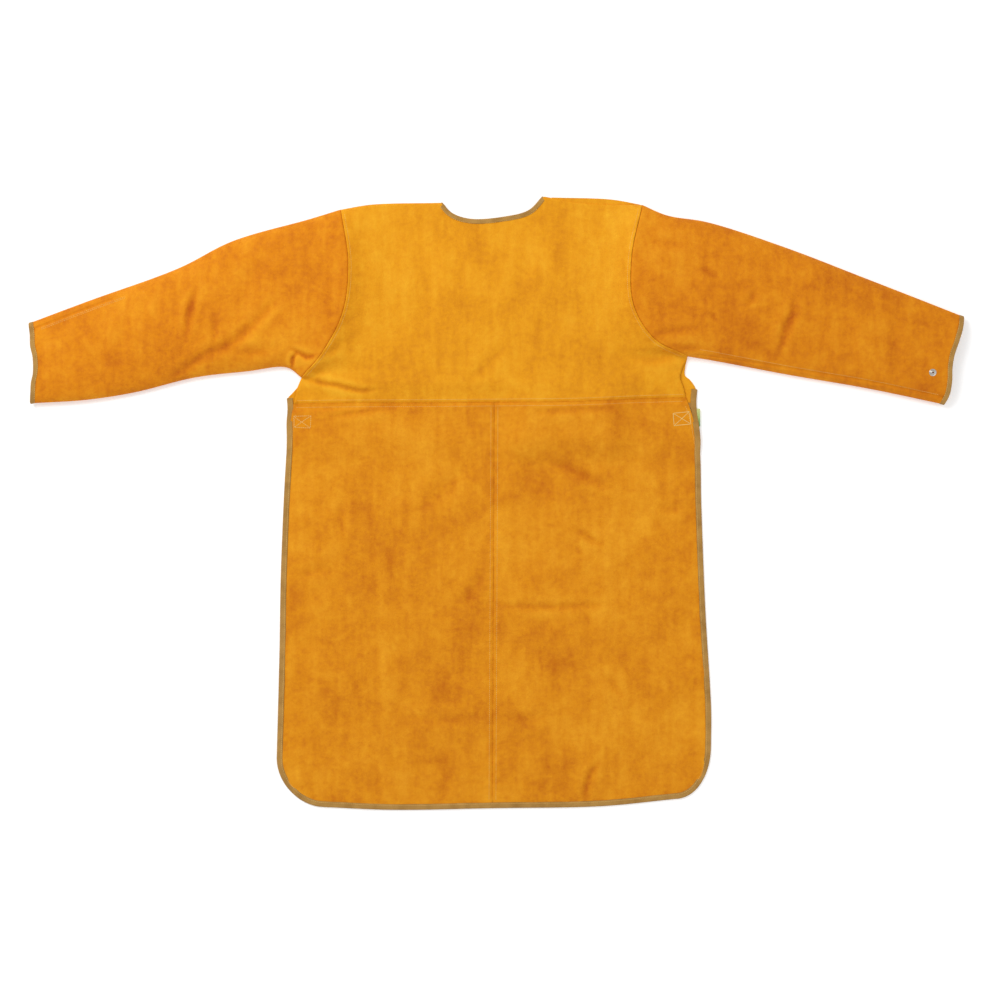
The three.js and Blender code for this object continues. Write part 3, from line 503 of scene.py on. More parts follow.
class Graph:
    """The nodes of one material."""

    def __init__(self, name: str) -> None:
        """Starts a material with its shader and output.

        Args:
            name: The material's name.
        """
        self.material = bpy.data.materials.new(name)
        self.material.use_nodes = True
        self.tree = self.material.node_tree
        self.tree.nodes.clear()
        self.shader = self.node("ShaderNodeBsdfPrincipled")
        self.node("ShaderNodeOutputMaterial", None, {"Surface": self.shader.outputs["BSDF"]})

    def node(self, kind: str, settings: dict | None = None, sockets: dict | None = None) -> bpy.types.Node:
        """Adds a node.

        Args:
            kind: The node's type.
            settings: Its own settings, set first; "stops" are a ramp's (place, colour) pairs.
            sockets: Values or links of its inputs, by identifier, name or place.

        Returns:
            The node.
        """
        made = self.tree.nodes.new(kind)
        for key, value in (settings or {}).items():
            if key == "stops":
                self._stops(made.color_ramp, value)
            else:
                setattr(made, key, value)
        for key, value in (sockets or {}).items():
            self.feed(made, key, value)
        return made

    @staticmethod
    def _stops(ramp: bpy.types.ColorRamp, stops: Sequence[tuple[float, Sequence[float]]]) -> None:
        """Sets a ramp's stops.

        Args:
            ramp: The ramp.
            stops: Each stop's place and colour.
        """
        while len(ramp.elements) < len(stops):
            ramp.elements.new(0.5)
        for element, (place, colour) in zip(ramp.elements, stops):
            element.position = place
            element.color = (*colour, 1.0)

    def feed(self, node: bpy.types.Node, key: int | str, value: object) -> None:
        """Sets or links one input of a node.

        Args:
            node: The node.
            key: The input's name or number.
            value: A number, a colour or a link.
        """
        if isinstance(key, int):
            socket = node.inputs[key]
        else:
            socket = next((s for s in node.inputs if s.identifier == key), None) or node.inputs[key]
        if isinstance(value, Value):
            self.tree.links.new(value.socket, socket)
        elif isinstance(value, bpy.types.NodeSocket):
            self.tree.links.new(value, socket)
        else:
            socket.default_value = value

    def value(
        self, kind: str, settings: dict | None = None, sockets: dict | None = None, out: int | str = 0
    ) -> Value:
        """Adds a node and wraps one of its outputs."""
        return Value(self, self.node(kind, settings, sockets).outputs[out])

    def place(self) -> Value:
        """Where a point is on the piece, in metres."""
        return self.value("ShaderNodeTexCoord", out="Object")

    def grain(
        self, place: Value, scale: float, detail: float = 3.0, rough: float = 0.55, warp: float = 0.0
    ) -> Value:
        """Noise of one scale, mostly between 0.3 and 0.7."""
        sockets = {"Vector": place, "Scale": scale, "Detail": detail, "Roughness": rough, "Distortion": warp}
        return self.value("ShaderNodeTexNoise", None, sockets, "Fac")

    def turned(self, place: Value, angle: float, stretch: Sequence[float]) -> Value:
        """The place, turned about Z and stretched, for patterns that run one way."""
        sockets = {"Vector": place, "Rotation": (0.0, 0.0, angle), "Scale": tuple(stretch)}
        return self.value("ShaderNodeMapping", None, sockets)

    def strand(self) -> tuple[Value, Value]:
        """Metres along and across a piece, from its own flat map."""
        flat = self.value("ShaderNodeUVMap", {"uv_map": "flat"})
        parts = self.node("ShaderNodeSeparateXYZ", None, {"Vector": flat})
        return Value(self, parts.outputs[0]), Value(self, parts.outputs[1])

    def ramp(self, factor: Value, stops: Sequence[tuple[float, Sequence[float]]]) -> Value:
        """Colours by a value."""
        return self.value("ShaderNodeValToRGB", {"stops": stops}, {"Fac": factor}, "Color")

    def blend(self, factor: Value | float, first: object, second: object) -> Value:
        """Mixes two colours."""
        sockets = {"Factor_Float": factor, "A_Color": first, "B_Color": second}
        made = self.node("ShaderNodeMix", {"data_type": "RGBA"}, sockets)
        return Value(self, next(s for s in made.outputs if s.identifier == "Result_Color"))

    def bump(
        self, height: Value, distance: float, strength: float = 1.0, under: Value | None = None
    ) -> Value:
        """A bumped normal, from a height of 0 to 1 and the metres that 1 stands for.

        Args:
            height: The relief, from 0 to 1.
            distance: The metres that 1 stands for.
            strength: How much of it shows.
            under: A normal to add it to.

        Returns:
            The normal.
        """
        sockets: dict = {"Height": height, "Distance": distance, "Strength": strength}
        if under is not None:
            sockets["Normal"] = under
        return self.value("ShaderNodeBump", None, sockets)

    def finish(self, **sockets: object) -> bpy.types.Material:
        """Feeds the shader, by socket names with their spaces as underscores, and gives the material."""
        for key, value in sockets.items():
            self.feed(self.shader, key.replace("_", " "), value)
        return self.material


def srgb(red: float, green: float, blue: float) -> tuple[float, float, float]:
    """A screen colour of 0 to 255 as linear light."""
    parts = (c / 255 for c in (red, green, blue))
    return tuple(c / 12.92 if c <= 0.04045 else ((c + 0.055) / 1.055) ** 2.4 for c in parts)


def opaque(colour: Sequence[float]) -> tuple[float, ...]:
    """A colour with its alpha."""
    return (*colour, 1.0)


@dataclass(frozen=True)
class SuedeLeather:
    """Split cowhide with a short nap: a shade, how mottled it is and the way its streaks run."""

    name: str
    dark: tuple[float, float, float]
    middle: tuple[float, float, float]
    light: tuple[float, float, float]
    mottle: float = 1.0
    streak_angle: float = 0.6

    def make(self) -> bpy.types.Material:
        """Builds the material: cloudy dye, streaks, nap, painted shade in the creases and a pebbled surface.

        Returns:
            The material.
        """
        g = Graph(self.name)
        place = g.place()
        cloud = g.grain(place, 6.5, 3.0)
        blotch = g.grain(place, 34.0, 5.0, 0.62, 0.4)
        spot = g.grain(place, 130.0, 4.0, 0.6)
        streak = g.grain(g.turned(place, self.streak_angle, (1.0, 0.16, 1.0)), 70.0, 3.0)
        nap = g.grain(place, 900.0, 4.0, 0.7)
        hollow = g.value("ShaderNodeAttribute", {"attribute_name": "hollow"}, None, "Fac")
        m = self.mottle
        tone = 0.5 + (cloud - 0.5) * (0.9 * m) + (blotch - 0.5) * (0.62 * m) + (spot - 0.5) * (0.5 * m)
        # Darker where the mesh's crease attribute is deep: painted shade in the folds.
        tone = tone + (streak - 0.5) * 0.4 + (nap - 0.5) * 0.4 - hollow * 0.42
        colour = g.ramp(tone, [(0.12, self.dark), (0.5, self.middle), (0.86, self.light)])
        pebble = g.grain(place, 260.0, 5.0, 0.65)
        fibre = g.grain(g.turned(place, self.streak_angle, (1.0, 0.4, 1.0)), 1500.0, 3.0, 0.7)
        under = g.bump(blotch * 0.5 + spot * 0.5, 0.0016, 0.55)
        under = g.bump(pebble, 0.0009, 0.6, under)
        normal = g.bump(fibre * 0.6 + nap * 0.4, 0.0005, 0.55, under)
        return g.finish(
            Base_Color=colour,
            Roughness=0.84 + (spot - 0.5) * 0.3,
            Normal=normal,
            Specular_IOR_Level=0.22,
            Sheen_Weight=0.07,
            Sheen_Roughness=0.45,
            Sheen_Tint=opaque(self.light),
        )


@dataclass(frozen=True)
class GrosgrainTape:
    """Ribbed cotton binding: ribs run across it."""

    name: str
    shade: tuple[float, float, float]
    rib_shade: tuple[float, float, float]
    rib: float = 1.9 * MM

    def make(self) -> bpy.types.Material:
        """Builds the material: ribs, the fine weave on them and worn, dusty patches.

        Returns:
            The material.
        """
        g = Graph(self.name)
        along, across = g.strand()
        wander = g.grain(g.place(), 60.0)
        ribs = (along * (2 * math.pi / self.rib) + wander * 3.0).sine() * 0.5 + 0.5
        threads = (across * (2 * math.pi / (0.55 * MM))).sine() * 0.5 + 0.5
        fluff = g.grain(g.place(), 700.0, 4.0, 0.7)
        wear = g.grain(g.place(), 45.0, 4.0)
        tone = ribs * 0.5 + threads * 0.14 + fluff * 0.4 + (wear - 0.5) * 1.0
        colour = g.ramp(tone, [(0.15, self.rib_shade), (0.75, self.shade)])
        normal = g.bump(ribs * 0.7 + threads * 0.3, 0.00035, 0.8)
        normal = g.bump(fluff, 0.0003, 0.5, normal)
        return g.finish(
            Base_Color=colour,
            Roughness=0.82 + fluff * 0.14,
            Normal=normal,
            Specular_IOR_Level=0.25,
            Sheen_Weight=0.12,
        )


@dataclass(frozen=True)
class SewingThread:
    """Twisted sewing thread."""

    name: str
    shade: tuple[float, float, float]

    def make(self) -> bpy.types.Material:
        """Builds the material: a twist and a little dirt.

        Returns:
            The material.
        """
        g = Graph(self.name)
        place = g.place()
        twist = g.grain(g.turned(place, 0.8, (1.0, 0.25, 1.0)), 2600.0, 2.0)
        dirt = g.grain(place, 25.0)
        dull = tuple(0.66 * c for c in self.shade)
        colour = g.ramp(dirt * 0.7 + twist * 0.35, [(0.3, dull), (0.65, self.shade)])
        return g.finish(Base_Color=colour, Roughness=0.55 + twist * 0.2, Normal=g.bump(twist, 0.0002, 0.6))


@dataclass(frozen=True)
class StrapWebbing:
    """Flat polypropylene webbing with a herringbone weave."""

    name: str
    shade: tuple[float, float, float]

    def make(self) -> bpy.types.Material:
        """Builds the material: slanted ribs that turn at the middle, and scuffs.

        Returns:
            The material.
        """
        g = Graph(self.name)
        along, across = g.strand()
        slant = (across - 12.5 * MM).size()
        ribs = ((along + slant * 0.8) * (2 * math.pi / (2.2 * MM))).sine() * 0.5 + 0.5
        warp = (across * (2 * math.pi / (1.3 * MM))).sine() * 0.5 + 0.5
        scuff = g.grain(g.place(), 120.0, 5.0, 0.65)
        weave = ribs * warp
        light = tuple(min(1.0, 2.6 * c + 0.01) for c in self.shade)
        colour = g.ramp(weave * 0.6 + (scuff - 0.5) * 0.8, [(0.1, self.shade), (0.8, light)])
        return g.finish(
            Base_Color=colour,
            Roughness=0.62 + scuff * 0.2,
            Normal=g.bump(weave, 0.00045, 0.8),
            Sheen_Weight=0.1,
        )


@dataclass(frozen=True)
class MouldedPlastic:
    """Tough moulded plastic with a fine spark texture."""

    name: str
    shade: tuple[float, float, float]

    def make(self) -> bpy.types.Material:
        """Builds the material: spark texture, rubbed patches and faint flow marks.

        Returns:
            The material.
        """
        g = Graph(self.name)
        place = g.place()
        spark = g.grain(place, 1400.0, 2.0)
        rub = g.grain(place, 60.0, 4.0)
        light = tuple(1.9 * c + 0.004 for c in self.shade)
        colour = g.ramp(rub + (spark - 0.5) * 0.2, [(0.4, self.shade), (0.72, light)])
        return g.finish(Base_Color=colour, Roughness=0.36 + rub * 0.25, Normal=g.bump(spark, 0.00012, 0.35))


@dataclass(frozen=True)
class NickelSteel:
    """Nickel plated pressed steel, a little tarnished."""

    name: str
    shade: tuple[float, float, float]

    def make(self) -> bpy.types.Material:
        """Builds the material: plating, tarnish and fine scratches.

        Returns:
            The material.
        """
        g = Graph(self.name)
        place = g.place()
        tarnish = g.grain(place, 340.0, 4.0, 0.6)
        scratch = g.grain(g.turned(place, 0.4, (1.0, 0.03, 1.0)), 2400.0, 2.0)
        dull = tuple(0.55 * c for c in self.shade)
        colour = g.ramp(tarnish, [(0.35, dull), (0.6, self.shade)])
        rough = 0.2 + tarnish * 0.24 + (scratch - 0.5) * 0.2
        normal = g.bump(scratch, 0.00008, 0.4)
        return g.finish(Base_Color=colour, Metallic=1.0, Roughness=rough, Normal=normal)


@dataclass(frozen=True)
class LabelCloth:
    """A plain woven tab that goes from one colour to another along its length."""

    name: str
    first: tuple[float, float, float]
    second: tuple[float, float, float]

    def make(self) -> bpy.types.Material:
        """Builds the material: a fade along the tab under a fine satin weave.

        Returns:
            The material.
        """
        g = Graph(self.name)
        along, across = g.strand()
        fade = (along * (1 / (31 * MM))).least(1.0).most(0.0)
        weave = ((along + across) * (2 * math.pi / (0.8 * MM))).sine() * 0.5 + 0.5
        soil = g.grain(g.place(), 160.0, 4.0)
        colour = g.blend(fade, opaque(self.first), opaque(self.second))
        colour = g.blend(0.22 * weave + soil * 0.2, colour, opaque(tuple(0.5 * c for c in self.second)))
        return g.finish(Base_Color=colour, Roughness=0.6 + soil * 0.2, Normal=g.bump(weave, 0.0002, 0.6))


class Finish(Enum):
    """The finishes of this apron."""

    CHEST = SuedeLeather(
        "chest_leather",
        srgb(200, 118, 4),
        srgb(230, 152, 16),
        srgb(244, 176, 36),
        mottle=0.8,
        streak_angle=0.7,
    )
    SKIRT = SuedeLeather(
        "skirt_leather", srgb(194, 104, 2), srgb(222, 139, 12), srgb(238, 162, 30), mottle=1.0
    )
    SLEEVE = SuedeLeather(
        "sleeve_leather",
        srgb(188, 94, 2),
        srgb(221, 132, 8),
        srgb(238, 158, 26),
        mottle=0.9,
        streak_angle=-0.3,
    )
    TAPE = GrosgrainTape("binding_tape", srgb(196, 150, 78), srgb(148, 104, 44))
    THREAD = SewingThread("thread", srgb(248, 222, 142))
    SEAM_THREAD = SewingThread("thread", srgb(245, 205, 118))
    WEBBING = StrapWebbing("webbing", srgb(30, 28, 27))
    PLASTIC = MouldedPlastic("buckle_plastic", srgb(24, 24, 25))
    STEEL = NickelSteel("snap_steel", srgb(214, 212, 206))
    LABEL = LabelCloth("label_cloth", srgb(236, 232, 150), srgb(92, 158, 74))


class Wardrobe:
    """Makes each finish once and hands it out."""

    def __init__(self) -> None:
        """Starts empty."""
        self.made: dict[Finish, bpy.types.Material] = {}

    def get(self, finish: Finish) -> bpy.types.Material:
        """The material of a finish."""
        if finish not in self.made:
            self.made[finish] = finish.value.make()
        return self.made[finish]

    def dress(self, piece: bpy.types.Object) -> bpy.types.Object:
        """Hands a piece back unchanged."""
        return piece


# ---------------------------------------------------------------- the pattern


@dataclass
class Side:
    """The cut of one side: landmarks in millimetres, bulges of its edges, and the edges made from them."""

    name: str
    sign: int
    arm_top: tuple[float, float]
    neck: tuple[float, float]
    armpit: tuple[float, float]
    waist: tuple[float, float]
    flank: tuple[float, float]
    back_corner: tuple[float, float]
    back_neck: tuple[float, float]
    back_flank: tuple[tuple[float, float], ...]
    tape_start: tuple[tuple[float, float], ...]
    hem_side: tuple[float, float]
    hem_end: tuple[float, float]
    droop: float
    cuff_width: float
    cuff_tilt: float
    arm_bulge: tuple[tuple[float, float], ...]
    top_bulge: tuple[tuple[float, float], ...]
    bottom_bulge: tuple[tuple[float, float], ...]
    cuff_bulge: tuple[tuple[float, float], ...]
    side_bulge: tuple[tuple[float, float], ...]
    armhole: Edge = field(init=False)
    top: Edge = field(init=False)
    bottom: Edge = field(init=False)
    cuff: Edge = field(init=False)
    skirt_side: Edge = field(init=False)

    def __post_init__(self) -> None:
        """Draws the edges."""
        turn = math.radians(self.droop)
        self.along = np.array([self.sign * math.cos(turn), -math.sin(turn)])
        across = np.array([self.sign * math.sin(turn), math.cos(turn)])
        low, high = mm(*self.armpit), mm(*self.arm_top)
        middle = (low + high) / 2 + self.along * BUILD.sleeve_length
        half, tilt = self.cuff_width / 2 * MM, self.cuff_tilt * MM
        cuff_top = middle + across * half - self.along * tilt
        cuff_low = middle - across * half + self.along * tilt
        self.armhole = bulged(low, high, self.arm_bulge)
        self.top = bulged(high, cuff_top, self.top_bulge)
        self.bottom = bulged(low, cuff_low, self.bottom_bulge)
        self.cuff = bulged(cuff_low, cuff_top, self.cuff_bulge)
        self.skirt_side = bulged(mm(*self.waist), mm(*self.hem_side), self.side_bulge)


LEFT = Side(
    name="left",
    sign=-1,
    arm_top=(-272.5, 512),
    neck=(-97.5, 524),
    armpit=(-341.5, 218),
    waist=(-356, 172),
    flank=(-349, 200),
    back_corner=(-363.5, 163),
    back_neck=(-111.5, 523),
    back_flank=((-348, 203), (-358, 191), (-365.5, 182)),
    tape_start=((-365.8, 182.5), (-364.6, 164), (-366, 140), (-365.6, 110)),
    hem_side=(-383.5, -447),
    hem_end=(-301.5, -531),
    droop=13.5,
    cuff_width=137,
    cuff_tilt=15,
    arm_bulge=((0.16, -26), (0.42, -46), (0.71, -35)),
    top_bulge=((0.1, -3), (0.34, -13), (0.52, -1), (0.8, -1)),
    bottom_bulge=((0.05, -20), (0.2, -20), (0.39, -18), (0.62, -2), (0.8, 3)),
    cuff_bulge=((0.14, -2.6), (0.25, -4.2), (0.38, -8.4), (0.57, -8.4), (0.71, -4.4), (0.86, -3.4)),
    side_bulge=((0.1, -5.7), (0.45, -7.3), (0.7, -3.4)),
)
RIGHT = Side(
    name="right",
    sign=1,
    arm_top=(253.5, 520),
    neck=(81.5, 535),
    armpit=(333.5, 255),
    waist=(331, 183),
    flank=(320, 221),
    back_corner=(345, 165),
    back_neck=(95.5, 533),
    back_flank=((329.5, 238), (329, 222), (337, 215), (348, 197)),
    tape_start=((348.6, 198), (347, 176), (348.3, 155), (352, 131), (354, 106)),
    hem_side=(372.5, -426),
    hem_end=(309.5, -517),
    droop=15.5,
    cuff_width=157,
    cuff_tilt=4,
    arm_bulge=((0.16, 48), (0.4, 67), (0.7, 46)),
    top_bulge=((0.08, -3), (0.2, 9), (0.44, 12), (0.7, 7)),
    bottom_bulge=((0.1, 1), (0.4, 1), (0.7, 3)),
    cuff_bulge=((0.12, -3.6), (0.27, -1.9), (0.41, 2.6), (0.55, 3.9), (0.72, 0.9), (0.87, -1)),
    side_bulge=((0.06, 9), (0.15, 15.5), (0.3, 12), (0.6, 6.5), (0.9, 4.5)),
)
SIDES = (LEFT, RIGHT)
SEAM_TOP = mm(-4.4, 174.6)
WAIST_MARKS = ((-275, 173), (-120, 173.7), (-4.4, 174.6), (140, 176), (240, 180.3))
WAIST_SEAM = Edge([mm(*p) for p in (LEFT.waist, *WAIST_MARKS, RIGHT.waist)])
SEAM_HEM = mm(-8, -533)


def seam_x(y: Array) -> Array:
    """Where the skirt's centre seam is at a height."""
    return mix(SEAM_HEM[0], SEAM_TOP[0], (y - SEAM_HEM[1]) / (SEAM_TOP[1] - SEAM_HEM[1]))


def skirt_level(x: Array, y: Array) -> Array:
    """The lower face of the skirt where it lies over the straps, the buckle and the back panels.

    Args:
        x: Places across, in metres.
        y: Places up the apron, in metres.

    Returns:
        The level of each place.
    """
    below_strap, slope = 65 * MM, 55 * MM
    start = BUILD.strap_y - BUILD.webbing_width / 2 - below_strap
    ramp = smooth((y - start) / slope)
    lift = BUILD.buckle_lift - BUILD.waist_level + BUILD.leather
    return mix(BUILD.low, BUILD.waist_level, ramp) + lift * over_buckle(x, y)


# ---------------------------------------------------------------- panels


@dataclass
class Chest:
    """The front panel from the waist seam to the shoulders and the neck."""

    across: int = 250
    up: int = 170
    flank_share: float = 0.2
    neck_at: float = -8 * MM
    neck_half: float = 84 * MM
    roll_width: float = 5 * MM
    roll_drop: float = 4.2 * MM
    relief: Relief = Relief(
        creases=(
            Crease(((-345, 219), (-318, 212), (-271, 203), (-242, 196), (-205, 197)), 4.5, 2.3),
            Crease(((14, 272), (-20, 236), (-52, 211)), 9, 1.3),
            Crease(((-330, 250), (-296, 262), (-262, 282)), 7, 1.5),
            Crease(((-318, 300), (-280, 306), (-244, 322)), 9, 1.3),
            Crease(((318, 262), (282, 250), (238, 250)), 8, 1.8),
            Crease(((-217, 186), (-215, 330), (-210, 505)), 12, -0.5),
            Crease(((197, 186), (196, 330), (192, 505)), 12, -0.5),
            Crease(((92, 470), (50, 400), (36, 300)), 15, 1.0),
            Crease(((-150, 480), (-120, 400), (-128, 320)), 16, 0.9),
        ),
        swell=1.5,
        ripple=0.35,
        seed=2.0,
    )

    def __post_init__(self) -> None:
        """Draws the panel's edges."""
        self.seam = WAIST_SEAM
        shoulders = (
            bulged(mm(*LEFT.arm_top), mm(*LEFT.neck), ((0.34, 5),)),
            bulged(mm(*LEFT.neck), mm(*RIGHT.neck), ((0.09, -20), (0.27, -33), (0.6, -33), (0.85, -24))),
            bulged(mm(*RIGHT.neck), mm(*RIGHT.arm_top), ((0.4, -5),)),
        )
        self.top_line = np.vstack([part.line for part in shoulders])
        self.scoop = shoulders[1]

    def turn(self, v: Array) -> Array:
        """The share of the armhole at a height, crowded at its ends."""
        k = np.clip((v - self.flank_share) / (1 - self.flank_share), 0, 1)
        return mix(k, (1 - np.cos(math.pi * k)) / 2, 0.5)

    def side_points(self, side: Side, v: Array) -> Array:
        """The side edge: the flank, then the armhole."""
        marks = [mm(*side.waist), (mm(*side.waist) + mm(*side.flank)) / 2, mm(*side.flank), mm(*side.armpit)]
        low = Edge(marks).at(v / self.flank_share)
        return np.where(column(v < self.flank_share), low, side.armhole.at(self.turn(v)))

    def top_points(self, u: Array) -> Array:
        """The shoulders and the neck's scoop."""
        x = mix(self.top_line[0, 0], self.top_line[-1, 0], u)
        return np.stack([x, np.interp(x, self.top_line[:, 0], self.top_line[:, 1])], axis=1)

    def place(self, u: Array, v: Array) -> tuple[Array, Array]:
        """Each vertex's point on the outer face, and the point below it.

        Args:
            u: Shares across the sheet.
            v: Shares up the sheet.

        Returns:
            The two sets of points.
        """
        u, v = crowd(u, 0.05, 0.018), crowd(v, 0.055, 0.03)
        top = self.top_points(u)
        corners = [mm(*LEFT.waist), mm(*RIGHT.waist), mm(*LEFT.arm_top), mm(*RIGHT.arm_top)]
        flat = coons(
            self.side_points(LEFT, v), self.side_points(RIGHT, v), self.seam.at(u), top, corners, u, v
        )
        x, y = flat.T
        width = corners[1][0] - corners[0][0]
        to_side = np.minimum(u, 1 - u) * width
        to_waist = y - self.seam.at(u)[:, 1]
        to_top = top[:, 1] - y
        edge_rise = abs(2 * u - 1) ** 4
        crown = (BUILD.armhole_crown - BUILD.leather - BUILD.seam_level) * 0.8
        arch = crown * np.sin(np.arccos(np.clip(1 - 2 * self.turn(v), -1, 1))) ** 0.85 * abs(2 * u - 1) ** 7
        arch = arch * mix(1, smooth(self.turn(v) / 0.14), smooth(to_side / (30 * MM)))
        from_waist = smooth(to_waist / (40 * MM))
        from_top = smooth((to_top - 30 * MM) / (120 * MM))
        swell = mix(BUILD.seam_level, BUILD.chest_level, from_top * (1 - edge_rise))
        lift = (BUILD.buckle_lift - BUILD.waist_level + BUILD.leather) * over_buckle(x, y)
        z = mix(BUILD.waist_level, swell, from_waist) + arch + lift + BUILD.leather
        calm = smooth(to_side / (16 * MM)) * smooth(to_waist / (12 * MM)) * smooth(to_top / (14 * MM))
        z = z + self.relief.height(x, y) * mix(0.15, 1, calm)
        z = z + groove(to_side, 1.5 * MM, 1.7 * MM) + groove(to_waist)
        z = z + pucker(y, to_side, 0.6 * MM, 1.0) + pucker(x, to_waist, 0.45 * MM, 2.0)
        turned = np.clip(1 - to_top / self.roll_width, 0, 1)
        beside_neck = smooth((abs(x - self.neck_at) - self.neck_half) / (8 * MM))
        z = z - (1 - np.sqrt(np.clip(1 - turned**2, 0, 1))) * self.roll_drop * beside_neck
        points = np.stack([x, y, z], axis=1)
        return points, points - [0, 0, 1]

    def hollow(self, x: Array, y: Array) -> Array:
        """How deep each point lies in a crease, which the leather darkens as painted shade."""
        return crease_depth(self.relief, x, y)

    def make(self, wardrobe: Wardrobe) -> bpy.types.Object:
        """Builds the panel.

        Args:
            wardrobe: The finishes, made once each.

        Returns:
            The piece.
        """
        weave = Weave(self.across, self.up)
        piece = surface("chest", weave, self.place, wardrobe.get(Finish.CHEST), self.hollow)
        thicken(piece, BUILD.leather)
        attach(piece, "body")
        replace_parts(piece, "chest_panel")
        return wardrobe.dress(piece)


def crease_depth(relief: Relief, x: Array, y: Array) -> Array:
    """How sharply creases fold at points, from -1 to 1: depth in 2.5 mm over width in 4.5 mm. The leather
    darkens by it as painted shade.
    """
    lift = sum((c.height(x, y) * (4.5 / c.width) ** 1.3 for c in relief.creases), np.zeros(len(x)))
    return np.clip(-lift / (2.5 * MM), -1, 1)


LEFT_SKIRT = Relief(
    creases=(
        Crease(((-56, 56), (-96, 18), (-136, -14)), 12, 1.8),
        Crease(((-26, -125), (-40, -152), (-56, -180)), 9, 1.5),
        Crease(((-297, 147), (-236, 160), (-171, 167)), 6, 1.6),
        Crease(((-217, 160), (-205, -60), (-191, -300), (-190, -510)), 12, -0.6),
        Crease(((-271, 6), (-272, -30), (-269, -64)), 8, 1.4),
        Crease(((-342, -128), (-312, -118), (-282, -122)), 8, 1.4),
        Crease(((-157, -375), (-80, -380), (-20, -374)), 9, 1.3),
        Crease(((-300, -260), (-250, -300), (-232, -360)), 14, 1.2),
        Crease(((-110, -440), (-90, -480), (-96, -520)), 10, 1.3),
    ),
    swell=2.0,
    seed=3.0,
)
RIGHT_SKIRT = Relief(
    creases=(
        Crease(((85, 74), (140, 52), (198, 24)), 8, 2.6),
        Crease(((135, -44), (160, -62), (185, -74)), 6, 2.0),
        Crease(((35, 86), (66, 48), (100, 6)), 15, 2.2),
        Crease(((0, -180), (90, -183), (200, -178)), 6, 1.5),
        Crease(((0, -374), (50, -378), (95, -374)), 9, 1.2),
        Crease(((178, -451), (160, -486), (155, -516), (160, -532)), 6, 2.4),
        Crease(((185, -300), (202, -318), (220, -340)), 7, 1.6),
        Crease(((65, 157), (140, 163), (210, 164)), 6, 1.6),
        Crease(((197, 160), (194, -60), (188, -300), (186, -510)), 12, -0.6),
        Crease(((281, -4), (304, -12), (326, -6)), 7, 1.5),
        Crease(((60, -250), (104, -276), (130, -330)), 16, 1.3),
    ),
    swell=2.1,
    seed=4.0,
)


